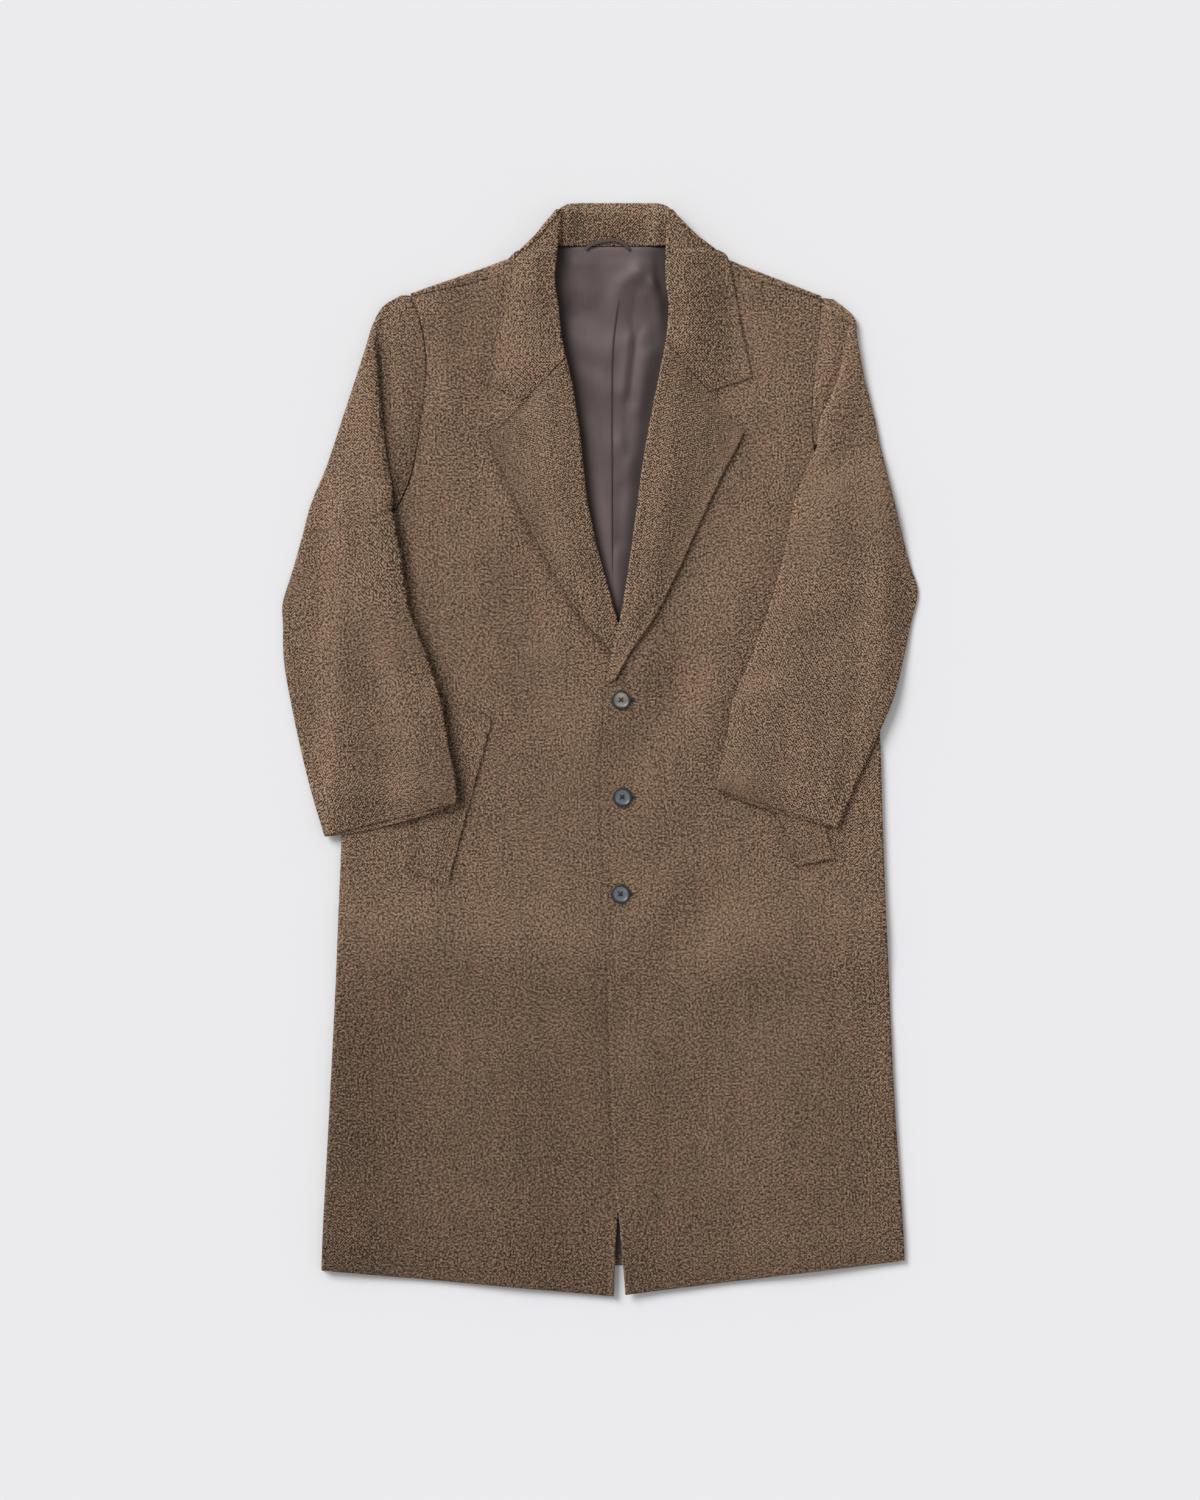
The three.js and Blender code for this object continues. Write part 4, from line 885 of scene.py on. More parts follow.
def welt_lift(side, x, y):
    """How much a welt lifts what lies on it."""
    top, low = WELT[side]["top"], WELT[side]["low"]

    def beyond(end):
        length = math.dist(top[0], end)
        along = ((x - top[0][0]) * (end[0] - top[0][0]) + (y - top[0][1]) * (end[1] - top[0][1])) / length
        return max(0, -along, along - length)

    return (LAYER + 0.25) * (1 - ramp(math.hypot(beyond(low[0]), beyond(top[1])), WELT_NEAR, WELT_FAR))


# %% [markdown]
# ## Sleeves
# A tailored sleeve is two pieces, top and under, and lies folded along both. Each row below goes from the
# fold that lies over the front to the outer fold. Above the underarm the sleeve head climbs to the armhole
# seam. A sleeve holds air, so its top piece swells between the folds and carries its own creases at the
# elbow and above the cuff.

# %% Sleeve tables
SLEEVE_HEAD = {
    "left": table("arm ax ay bx by top", (0.22, -238.5, 276, -341.5, 247, 11.3),
                  (0.29, -238, 294, -332.4, 281, 9.8), (0.38, -244.4, 330.6, -314, 326, 8.8),
                  (0.5, -250, 374.3, -297.9, 374.3, 8.4), (0.66, -254.2, 434, -278.3, 434, 8.2),
                  (0.78, -256.5, 463, -269, 463, 7.6), (0.87, -253.6, 487, -261.6, 487, 6.4),
                  (0.93, -241.8, 508.5, -249.8, 508, 5.6), (1, -220.8, 521.5, -228.6, 521, 5.2)),
    "right": table("arm ax ay bx by top", (0.44, 250, 349.5, 322, 349, 8.4),
                   (0.52, 252.5, 376, 317, 374, 8.2), (0.6, 263.4, 401, 310.5, 401, 8),
                   (0.7, 276, 431, 303, 431, 7.8), (0.83, 285.2, 473, 295.6, 473, 7.2),
                   (0.92, 284, 496.5, 292.1, 496, 6), (1, 260, 518, 268.4, 516.5, 5.2)),
}
SLEEVE = {
    "left": table("ax ay bx by top", (-238.5, 276, -341.5, 247, 11.3), (-228.9, 224.8, -353, 206.4, 11.3),
                  (-220.8, 167.3, -364.6, 168.5, 11.3), (-211.6, 139.7, -364.4, 143.2, 11.3),
                  (-199, 108.7, -363.4, 102.9, 11.3), (-182.9, 56.9, -355.9, 56.9, 11.3),
                  (-173.7, 5.2, -345, 5.2, 11.3), (-166.8, -29.3, -332.4, -46.6, 11.3),
                  (-163.3, -61, -316.3, -99.5, 11.3)),
    "right": table("ax ay bx by top", (250, 349.5, 322, 349, 8.4), (233.4, 312.2, 331.8, 309.9, 9),
                   (222.5, 283.5, 340.4, 276.6, 10.3), (216.2, 252.4, 346.2, 250.1, 11.3),
                   (208.2, 213.3, 356.5, 211, 11.3), (197.8, 175.4, 365, 181.1, 11.3),
                   (186.3, 140.9, 357.7, 146.6, 11.3), (172.5, 102.9, 349.6, 108.7, 11.3),
                   (153, 58.1, 338.1, 62.7, 11.3), (143.8, 5.2, 317.4, 13.2, 11.3),
                   (135.7, -29.3, 295.6, -35.1, 11.3), (133.4, -45.4, 272.6, -89.1, 11.3)),
}
UNDER_HEAD = {
    "left": table("arm bx by", (0, -341.5, 247), (0.15, -335, 270), (0.29, -328.5, 292), (0.38, -314, 326)),
    "right": table("arm bx by", (0, 346.2, 250.1), (0.15, 340.4, 276.6), (0.3, 331.8, 309.9),
                   (0.44, 322, 349)),
}
UNDER_START = {"left": 0, "right": 3}
FLOOR_LEAD = 8
HEAD_MIDDLE = 0.4
HEAD_CLIMB = 0.42
STEP_FOOT, STEP_RISE, STEP_SHARE = 0.5, 0.9, 0.75
SLEEVE_ROWS = 96
HEAD_COLUMNS = 12
SLEEVE_COLUMNS = 34
SLEEVE_CREASES = {
    "left": table(CREASE, (-262, 190, -236, 90, 16, 1.4), (-300, 200, -262, 60, 20, -1.6),
                  (-262, 180, -245, 30, 13, -1.9), (-225, 60, -200, -10, 15, 2.0),
                  (-245, -10, -190, -34, 11, -1.7), (-330, 180, -320, 80, 18, 1.4),
                  (-300, 30, -285, -50, 20, 1.2), (-212, 10, -170, -14, 9, 1.2),
                  (-345, 120, -290, 100, 14, 1.0), (-255, -50, -235, -75, 12, 0.8)),
    "right": table(CREASE, (268, 300, 262, 170, 20, 1.6), (300, 290, 300, 150, 18, -1.5),
                   (330, 200, 318, 90, 16, 1.5), (246, 180, 222, 60, 18, 1.0), (300, 70, 290, -30, 13, -2.0),
                   (322, 110, 300, 20, 10, 1.5), (200, 60, 180, -30, 20, 1.0), (276, 10, 262, -66, 10, 1.4),
                   (180, -10, 250, -50, 12, -1.0), (250, 130, 290, 110, 12, -0.9)),
}
SLEEVE_PUFF = 2.6
CROWN = 1.5
CUFF_SAG = 0.9
CUFF_BAND = {"left": 6.0, "right": 5.0}
FOLD_LIFT, FOLD_LIFT_X = {"left": 6.5, "right": 3.2}, (14, 85)
HEAD_LIFT, HEAD_LIFT_X = {"left": 3.6, "right": 1.6}, (8, 50)
HEAD_LIFT_FROM, HEAD_LIFT_TO = (180, 310), (420, 500)
SLEEVE_MOST = 24.0
INNER_FOLD = {side: sorted([{"y": row["ay"], "x": row["ax"]} for row in SLEEVE[side] + SLEEVE_HEAD[side][1:]],
                           key=lambda row: row["y"]) for side in SLEEVE}


# %% [markdown]
# The under sleeve climbs from the floor onto the front, over the welt below it. The top sleeve follows it
# one fold higher.

# %% Heights of a sleeve
def outside(side, x, y):
    return max(0.0, SIGN[side] * (x - side_x(side, min(y, UNDERARM_Y))))


def under_z(side, x, y, on_front, climb=1.5):
    """on_front is 1 where the sleeve lies on the front and 0 in the sleeve head."""
    above = (1 - on_front) * climb * max(0.0, y - UNDERARM_Y)
    down = ramp(math.hypot(outside(side, x, y), above), FLOOR_LEAD, FLOOR_LEAD + CLIMB)
    return lerp(SLEEVE_Z + on_front * welt_lift(side, x, y), BACK_Z, down)


def top_z(side, x, y, row, on_front):
    arm_x = lookup(ARMHOLE[side], "y", "x", y)
    past = ramp(SIGN[side] * (x - arm_x), 4, 40)
    over = row["over_arm"] * ramp(y, UNDERARM_Y, UNDERARM_Y + 14)
    on_armhole = lerp(FRONT_Z + LAYER + 0.3, BACK_Z, past) * over
    gone = ramp(y, UNDERARM_Y + 20, UNDERARM_Y + 90)
    tuck = TUCK_AIR * ramp(y, UNDERARM_Y - 60, UNDERARM_Y) * (1 - gone)
    rest = max(under_z(side, x, y, on_front, HEAD_CLIMB) + 2 * SLEEVE_R + tuck, on_armhole)
    away = ramp(math.dist((x, y), (row["ax"], row["ay"])), 5, 50)
    return max(lerp(row["top"], rest, away), rest)


def puffed(side, x, y, row):
    """Air and creases between the two folds of a sleeve."""
    a, b = (row["ax"], row["ay"]), (row["bx"], row["by"])
    width = math.dist(a, b)
    share = clamp(((x - a[0]) * (b[0] - a[0]) + (y - a[1]) * (b[1] - a[1])) / width ** 2)
    arch = math.sin(math.pi * share) ** 0.8 * ramp(width, 12, 90)
    folds = sum(crease(c, x, y) for c in SLEEVE_CREASES[side])
    return arch * (max(0.0, SLEEVE_PUFF + folds) * (1 - row["cuff"]) - CUFF_SAG * row["cuff"])


# %% [markdown]
# ## Rows of a sleeve
# The lip at each fold turns down on the top piece and up on the under piece, so that the two meet in the
# fold.

# %% Rows of a sleeve
def direction(start, end):
    length = math.dist(start, end)
    return (end[0] - start[0]) / length, (end[1] - start[1]) / length


def lip_row(p, along, radius, height, towards, reach=None):
    reach = radius - LIP_END if reach is None else reach
    row = []
    for turn in LIP:
        run = HALF + radius * (1 - math.cos(turn))
        x, y = p[0] + along[0] * run, p[1] + along[1] * run
        row.append((x, y, height(x, y) + towards * reach * (1 - math.sin(turn))))
    return row


def between(p, q, count, height):
    row = []
    for t in steps(count)[1:-1]:
        x, y = lerp(p[0], q[0], t), lerp(p[1], q[1], t)
        row.append((x, y, height(x, y)))
    return row


def arm_row(rows, arm):
    places = [{"arm": row["arm"], "at": at} for at, row in enumerate(rows)]
    return table_row(rows, lookup(places, "arm", "at", arm))


def sleeve_rows(side, first):
    rows = SLEEVE[side]
    underarm = armhole(side, 0, HALF + SEAM)
    start = rows[UNDER_START[side]]
    at_underarm = abs(underarm[0] - start["ax"]) / abs(start["bx"] - start["ax"])
    last = len(rows) - 1
    offset = underarm[1] - lerp(start["ay"], start["by"], at_underarm)
    places = [lerp(first, last, t) for t in steps(round(SLEEVE_ROWS * (last - first) / last))]
    if first < UNDER_START[side]:
        places = sorted(set(places) | {UNDER_START[side]})
    made = []
    for at in places:
        row = table_row(rows, at)
        share = lerp(at_underarm, 0.5, ramp(at, UNDER_START[side], last - 2))
        near = 1 - ramp(abs(at - UNDER_START[side]), 0, 1.4)
        row["middle"] = (lerp(row["ax"], row["bx"], share),
                         lerp(row["ay"], row["by"], share) + offset * near)
        if at == UNDER_START[side]:
            row["middle"] = underarm
        row["on_front"] = ramp(at, UNDER_START[side] - 1, UNDER_START[side]) if side == "right" else 1
        row["over_arm"] = 1 - row["on_front"]
        row["cuff"] = ramp(at, last - 0.8, last)
        made.append(row)
    return made


def sleeve_grain(rows):
    """Places on the pattern: across from each row's middle, and along the run of those middles."""
    grain, run, previous = [], 0.0, None
    for row in rows:
        middle = row[len(row) // 2]
        if previous is not None:
            run -= math.dist(previous[:2], middle[:2])
        previous = middle
        grain.append([(math.copysign(math.dist(p[:2], middle[:2]), i - len(row) // 2 + 0.5), run)
                      for i, p in enumerate(row)])
    return grain


# %% [markdown]
# ## Top sleeve and under sleeve
# The swell of the fronts lifts a sleeve only where it lies on them, so it fades out over the floor.

# %% Top sleeve
def carried(side, x, y):
    """Share of the fronts' swell that reaches a sleeve at this place."""
    return 1 - ramp(outside(side, x, y), FLOOR_LEAD, FLOOR_LEAD + CLIMB)


def settle_sleeve(side):
    """A sleeve rides on the swell, and its inner fold is springy, so it stands up a little more."""
    def settle(x, y, z):
        fold = SIGN[side] * (x - lookup(INNER_FOLD[side], "y", "x", y))
        spring = FOLD_LIFT[side] * (1 - ramp(fold, *FOLD_LIFT_X)) * (1 - ramp(y, *HEAD_LIFT_FROM))
        head = HEAD_LIFT[side] * ramp(z, FRONT_Z + 0.6, FRONT_Z + 2.6)
        head = head * ramp(y, *HEAD_LIFT_FROM) * (1 - ramp(y, *HEAD_LIFT_TO))
        spring += head * (1 - ramp(fold, *HEAD_LIFT_X))
        rise = (swell(x, y) * carried(side, x, y) + spring) * ramp(z, BACK_Z + 0.2, FRONT_Z)
        return min(z + rise, SLEEVE_MOST)
    return settle


def sleeve_top(side):
    def body(row):
        a, b = (row["ax"], row["ay"]), (row["bx"], row["by"])

        def height(x, y):
            return top_z(side, x, y, row, row["on_front"])

        def full(x, y):
            return height(x, y) + puffed(side, x, y, row)

        thick = height(*b) - under_z(side, *b, row["on_front"])
        fold = lip_row(a, direction(a, row["middle"]), SLEEVE_R, height, -1)
        reach = thick - SLEEVE_R - LIP_END
        outer = lip_row(b, direction(b, row["middle"]), thick / 2, height, -1, reach)[::-1]
        top = fold.pop()
        m = (*row["middle"], full(*row["middle"]))
        shared = [top, *between(top, m, HEAD_COLUMNS, full), m]
        shared += [*between(m, outer[0], SLEEVE_COLUMNS, full), *outer]
        return fold, shared

    low = sleeve_rows(side, 0)
    low_rows = []
    for row in low:
        fold, shared = body(row)
        low_rows.append([*fold, *shared])
    head = SLEEVE_HEAD[side]
    head_rows = []
    count = 64
    for k in range(count + 1):
        arm = lerp(head[0]["arm"], 1, k / count)
        row = low[0] if k == 0 else arm_row(head, arm)
        if k > 0:
            fading = 1 - ramp(k / count, 0, 0.14)
            drop = low[0]["middle"][1] - lerp(low[0]["ay"], low[0]["by"], HEAD_MIDDLE)
            row["middle"] = (lerp(row["ax"], row["bx"], HEAD_MIDDLE),
                             lerp(row["ay"], row["by"], HEAD_MIDDLE) + drop * fading)
            row["on_front"], row["over_arm"] = low[0]["on_front"] * fading, low[0]["over_arm"] * fading
            row["cuff"] = 0
        shared = body(row)[1]
        seam = armhole(side, arm, 2 * SEAM)
        along = direction((row["ax"], row["ay"]), row["middle"])
        foot = (row["ax"] - along[0] * STEP_FOOT, row["ay"] - along[1] * STEP_FOOT, FRONT_Z)
        rise = (row["ax"] + along[0] * STEP_RISE, row["ay"] + along[1] * STEP_RISE,
                lerp(FRONT_Z, shared[0][2], STEP_SHARE))
        width = math.dist(seam, foot[:2])

        def crown(x, y):
            off = clamp(math.dist(seam, (x, y)) / width)
            return FRONT_Z + CROWN * ramp(width, 6, 30) * math.sin(math.pi * off) ** 0.7

        head_rows.append([(*seam, FRONT_Z), *between(seam, foot, HEAD_COLUMNS, crown), foot, rise, *shared])
    mirrored = side == "right"

    cloth = Cloth(settle_sleeve(side)).grid(low_rows, mirrored, sleeve_grain(low_rows))
    cloth.grid(head_rows, not mirrored)
    return cloth.build(f"sleeve_top_{side}_cloth")


# %% [markdown]
# The under sleeve starts at the lower half of the armhole, lies on the floor beside the body and climbs
# onto the front. At the cuff it shows as a narrow band, because it is a little longer than the top piece.

# %% Under sleeve
def sleeve_under(side):
    underarm = armhole(side, 0, HALF + SEAM)

    def on_floor(x, y):
        return under_z(side, x, y, 0)

    def on_front(x, y):
        return under_z(side, x, y, 1)

    def outer(b, toward, height):
        return lip_row(b, direction(b, toward), SLEEVE_R, height, 1)[::-1]

    last_head = UNDER_HEAD[side][-1]["arm"]
    folds = UNDER_HEAD[side] + [{k: row[k] for k in ("arm", "bx", "by")} for row in SLEEVE_HEAD[side]
                                if row["arm"] > last_head + 0.02]
    head_rows = []
    for arm in steps(60):
        seam = armhole(side, arm, 2 * SEAM, ARM_EASE) if arm > 0 else underarm
        fold = arm_row(folds, arm)
        lip = outer((fold["bx"], fold["by"]), seam, on_floor)
        head_rows.append([(*seam, on_floor(*seam)), *between(seam, lip[0], SLEEVE_COLUMNS, on_floor), *lip])
    low_rows = []
    for k, row in enumerate(sleeve_rows(side, UNDER_START[side])):
        a, b, middle = (row["ax"], row["ay"]), (row["bx"], row["by"]), row["middle"]
        fold = lip_row(a, direction(a, middle), SLEEVE_R, on_front, 1)
        m = (*middle, on_front(*middle))
        lip = outer(b, middle, on_front)
        rest = head_rows[0] if k == 0 else [m, *between(m, lip[0], SLEEVE_COLUMNS, on_front), *lip]
        line = [*fold, *between(fold[-1], m, HEAD_COLUMNS, on_front), *rest]
        longer = CUFF_BAND[side] * row["cuff"]
        width = math.dist(a, b)
        low_rows.append([(x, y - longer * math.sin(math.pi * clamp(math.dist(a, (x, y)) / width)) ** 0.6, z)
                         for x, y, z in line])
    mirrored = side == "right"

    cloth = Cloth(settle_sleeve(side)).grid(head_rows, not mirrored)
    return cloth.grid(low_rows, mirrored, sleeve_grain(low_rows)).build(f"sleeve_under_{side}_cloth")


unders = {side: sleeve_under(side) for side in SIGN}
tops = {side: sleeve_top(side) for side in SIGN}

# %% [markdown]
# ## The hanger loop
# A narrow tube of lining cloth is caught in the neck seam at both ends and arches up over the collar's
# foot.

# %% Hanger loop
LOOP = table("x y", (-17, 574), (-11, 579), (2, 583), (15, 585), (24, 582.5), (30, 578), (34, 573.5))
LOOP_WIDTH, LOOP_LENGTH = 3.8, 76
LOOP_Z, LOOP_ARCH = 6.0, 0.8


def hanger_loop():
    rows, grain = [], []
    last = len(LOOP) - 1
    for t in steps(48):
        here = table_row(LOOP, t * last)
        ahead = table_row(LOOP, min(t * last + 0.05, last))
        before = table_row(LOOP, max(t * last - 0.05, 0))
        along = direction((before["x"], before["y"]), (ahead["x"], ahead["y"]))
        row = []
        for k in steps(8):
            off = (k - 0.5) * LOOP_WIDTH
            z = LOOP_Z + LOOP_ARCH * math.sin(math.pi * t)
            row.append((here["x"] - along[1] * off, here["y"] + along[0] * off, z))
        rows.append(row)
        grain.append([(k * LOOP_WIDTH, t * LOOP_LENGTH) for k in steps(8)])
    return Cloth(settle_body).grid(rows, False, grain).build("hanger_loop_cloth", LINING)


loop_cloth = hanger_loop()

# %% [markdown]
# ## Painted light and shade beside the edges
# Where a layer ends on another, shade is painted on the wool beside the edge, standing for a gap too thin
# for our simple light. The skirt is painted darker towards the hem and the waist lighter; the lower left
# corner and the inside of the collar are painted darker, and the edge of the right front lighter. All of
# these are painted on the second map, and they fade with the distance from the edge.

# %% Painted light and shade beside the edges
# Painted light and shade for each side: depth of the painted shadow beside the lapel and beside the sleeve's
# inner fold, the even painted light of the top sleeve, and the painted shade of the skirt.
PAINTED_LIGHT_BY_SIDE = {
    "left": {"lapel": 1.25, "fold": 2.0, "sleeve": -0.20, "skirt": -0.30},
    "right": {"lapel": 1.35, "fold": 0.0, "sleeve": 0.70, "skirt": -0.05},
}
LAPEL_REACH, COLLAR_REACH, WELT_REACH, FOLD_REACH = 14, 10, 6, 24
COLLAR_EDGE_SHADE, WELT_EDGE_SHADE = 0.8, 0.8
WAIST_PAINTED_LIGHT, WAIST_FROM, WAIST_TO = 0.22, (60, 160), (215, 300)
SKIRT_FROM = (225, 300)
HEM_PAINTED_SHADE, HEM_FROM = 0.3, (550, 630)
CORNER_PAINTED_SHADE, CORNER_X, CORNER_Y = 0.35, (200, 290), (230, 330)
OVERLAP_PAINTED_LIGHT, OVERLAP_REACH, EDGE_REACH = 0.7, 7, 5
COLLAR_INSIDE_SHADE, COLLAR_SLOPE_X = 0.55, ((84, 102), (135, 160))


def smooth_line(rows):
    last = len(rows) - 1
    return [(column(rows, "x", t * last), column(rows, "y", t * last)) for t in steps(24)]


# Edges beside which shadow is painted on the fronts, each with its reach and depth.
EDGE_LINES = {
    side: [(smooth_line(LAPEL[side]), LAPEL_REACH, PAINTED_LIGHT_BY_SIDE[side]["lapel"]),
           (smooth_line(COLLAR[side]), COLLAR_REACH, COLLAR_EDGE_SHADE),
           ([*WELT[side]["top"], *WELT[side]["low"][::-1], WELT[side]["top"][0]], WELT_REACH,
            WELT_EDGE_SHADE)]
    for side in SIGN
}


def beside(line, x, y, reach):
    """1 on a line, falling to 0 at its reach."""
    near = reach
    for (ax, ay), (bx, by) in zip(line, line[1:]):
        if min(ax, bx) - reach < x < max(ax, bx) + reach and min(ay, by) - reach < y < max(ay, by) + reach:
            along = clamp(((x - ax) * (bx - ax) + (y - ay) * (by - ay)) / math.dist((ax, ay), (bx, by)) ** 2)
            near = min(near, math.dist((x, y), (lerp(ax, bx, along), lerp(ay, by, along))))
    return 1 - ramp(near, 0, reach)


def beside_fold(side, x, y):
    """Painted shadow of a sleeve's inner fold, on the body's side only."""
    off = SIGN[side] * (lookup(INNER_FOLD[side], "y", "x", y) - x)
    if off < 0:
        return 0.0
    return PAINTED_LIGHT_BY_SIDE[side]["fold"] * (1 - ramp(off, 0, FOLD_REACH)) * ramp(y, -72, -58) * (1 - ramp(y, 440, 505))


def front_painted_light(side, x, y):
    # Painted shadow beside the lapel, collar and welt edges and beside the sleeve's fold; painted light at
    # the waist; painted shade on the skirt, towards the hem and in the lower left corner.
    dark = max(depth * beside(line, x, y, reach) for line, reach, depth in EDGE_LINES[side])
    tone_and_painted_light = -max(dark, beside_fold(side, x, y))
    tone_and_painted_light += WAIST_PAINTED_LIGHT * ramp(-y, *WAIST_FROM) * (1 - ramp(-y, *WAIST_TO))
    tone_and_painted_light += PAINTED_LIGHT_BY_SIDE[side]["skirt"] * ramp(-y, *SKIRT_FROM) - HEM_PAINTED_SHADE * ramp(-y, *HEM_FROM)
    tone_and_painted_light -= CORNER_PAINTED_SHADE * ramp(-x, *CORNER_X) * ramp(-y, *CORNER_Y)
    # Painted highlight along the edge of the right front; painted shadow on the left front beside that edge.
    off = x - edge_x("right", y)
    if side == "right":
        return tone_and_painted_light + OVERLAP_PAINTED_LIGHT * (1 - ramp(abs(off), 1, EDGE_REACH)) * (1 - ramp(y, 20, 50))
    return tone_and_painted_light - OVERLAP_PAINTED_LIGHT * (1 - ramp(-off, 0, OVERLAP_REACH)) * (1 - ramp(y, 90, 110))


def collar_painted_shade(x, y):
    # Painted shade inside the stand at the neck and on the slope of the right fall.
    inside = ramp(x - edge_x("left", y), 0, 6) * ramp(edge_x("right", y) - x, 0, 6)
    stand = -COLLAR_INSIDE_SHADE * ramp(y, NECK_Y - 4, NECK_Y + 2) * inside
    start, end = COLLAR_SLOPE_X
    fall = -COLLAR_INSIDE_SHADE * ramp(x, *start) * (1 - ramp(x, *end)) * ramp(y, 440, 490)
    return stand + fall


# %% [markdown]
# The painted light and shade go onto the map after the cloth is built. The top sleeves also take an even
# painted light, the right one lighter and the left one darker, since one lies in a slightly lighter place
# than the other.

# %% Painting light and shade onto the map
def paint_light_and_shade(thing, tone_and_painted_light):
    """Adds painted light and shade, given as a function of (x, y), to the second value of the painted light
    map.
    """
    mesh = thing.data
    tones = [tone_and_painted_light(v.co.x / MM, v.co.y / MM) for v in mesh.vertices]
    values = [0.0] * (2 * len(mesh.loops))
    mesh.uv_layers["painted_light_map"].data.foreach_get("uv", values)
    for i, loop in enumerate(mesh.loops):
        values[2 * i + 1] += tones[loop.vertex_index]
    mesh.uv_layers["painted_light_map"].data.foreach_set("uv", values)
    print(thing.name, "tones", round(min(tones), 2), "to", round(max(tones), 2))


# Painted light and shade: on the fronts; the fold's painted shadow on the welts; the even painted light of
# the top sleeves with the fold's shadow; the painted shade inside the collar.
for side in SIGN:
    paint_light_and_shade(fronts[side], lambda x, y: front_painted_light(side, x, y))
    paint_light_and_shade(welts[side], lambda x, y: -beside_fold(side, x, y))
    paint_light_and_shade(tops[side], lambda x, y: PAINTED_LIGHT_BY_SIDE[side]["sleeve"] - beside_fold(side, x, y))
paint_light_and_shade(collar_cloth, collar_painted_shade)

# %% [markdown]
# ## Buttons
# A coat button of this kind is turned on a lathe: a rounded rim round a shallow dish, and four holes. We
# spin the profile, drill the holes by a boolean, and sew the button on with two crossed strands of thread.

# %% Sizes of buttons and stitches
BUTTON_PROFILE = table("r z", (0, 0), (9.2, 0), (10.6, 0.5), (11.3, 1.2), (BUTTON_R, 1.9), (11.3, 2.6),
                       (10.7, 3.15), (10.0, BUTTON_THICK), (9.3, 3.3), (8.7, 3.0), (8.2, 2.6),
                       (7.6, 2.35), (6.6, 2.2), (4.5, 2.12), (2.2, 2.1), (0, 2.1))
BUTTON_ROUND = 96
HOLE_R = 1.0
HOLE_APART = 2.0
THREAD_R = 0.42
THREAD_HALF_GAP = 0.34
THREAD_Z, THREAD_ARCH, CROSS_LIFT, THREAD_SINK = 2.45, 0.35, 0.3, 1.6
STITCH_R = 0.22
STITCHES = 18
HOLE_START, HOLE_END = BUTTON_R - 4, BUTTON_R + 3.2
HOLE_Y = -0.6
STITCH = ((0, 0.35, -0.1), (0, 0.9, 0.35), (0.1, 1.7, 0.25), (0.1, 2.2, -0.15))
END_STITCH = ((0.4, -0.1), (1.1, 0.35), (2.1, -0.15))
SLIT_Z = (0.06, -0.24)
DISH_R = 8.0


# %% [markdown]
# Two helpers make round things: `lathe` spins a profile round an upright axis, and `tube` carries a small
# circle along a path.

# %% Round things
def mesh_object(name, verts, faces):
    mesh = bpy.data.meshes.new(name)
    mesh.from_pydata([(x * MM, y * MM, z * MM) for x, y, z in verts], [], faces)
    mesh.polygons.foreach_set("use_smooth", [True] * len(mesh.polygons))
    thing = bpy.data.objects.new(name, mesh)
    bpy.context.scene.collection.objects.link(thing)
    return thing


def lathe(name, profile, centre, count):
    verts, faces = [], []
    inner = profile[1:-1]
    verts.append((centre[0], centre[1], centre[2] + profile[0]["z"]))
    for row in inner:
        for k in range(count):
            turn = 2 * math.pi * k / count
            verts.append((centre[0] + row["r"] * math.cos(turn), centre[1] + row["r"] * math.sin(turn),
                          centre[2] + row["z"]))
    verts.append((centre[0], centre[1], centre[2] + profile[-1]["z"]))
    for j in range(len(inner) - 1):
        for k in range(count):
            a, b = 1 + j * count + k, 1 + j * count + (k + 1) % count
            faces.append((a, b, b + count, a + count))
    for k in range(count):
        faces.append((0, 1 + (k + 1) % count, 1 + k))
        top = 1 + (len(inner) - 1) * count
        faces.append((top + k, top + (k + 1) % count, len(verts) - 1))
    return mesh_object(name, verts, faces)


def tube(path, radius, around=8):
    """Points and faces of a round strand along a path."""
    verts, faces = [], []
    for i, p in enumerate(path):
        ahead = Vector(path[min(i + 1, len(path) - 1)]) - Vector(path[max(i - 1, 0)])
        ahead.normalize()
        side = ahead.cross(Vector((0, 0, 1)))
        side = side.normalized() if side.length > 1e-6 else Vector((1, 0, 0))
        up = side.cross(ahead)
        for k in range(around):
            turn = 2 * math.pi * k / around
            verts.append(tuple(Vector(p) + (side * math.cos(turn) + up * math.sin(turn)) * radius))
    for i in range(len(path) - 1):
        for k in range(around):
            a, b = i * around + k, i * around + (k + 1) % around
            faces.append((a, b, b + around, a + around))
    faces.append(tuple(reversed(range(around))))
    faces.append(tuple(range(len(verts) - around, len(verts))))
    return verts, faces


def join(name, parts):
    """One object from several (verts, faces) parts."""
    verts, faces = [], []
    for part_verts, part_faces in parts:
        faces += [tuple(i + len(verts) for i in face) for face in part_faces]
        verts += part_verts
    return mesh_object(name, verts, faces)


# %% [markdown]
# A button sits on the front, one seam above its face. The four holes are drilled by a boolean, whose
# result is kept as a plain mesh.

# %% Horn buttons
def button_z(x, y):
    return front_z("right", x, y) + HALF + SEAM + swell(x, y)


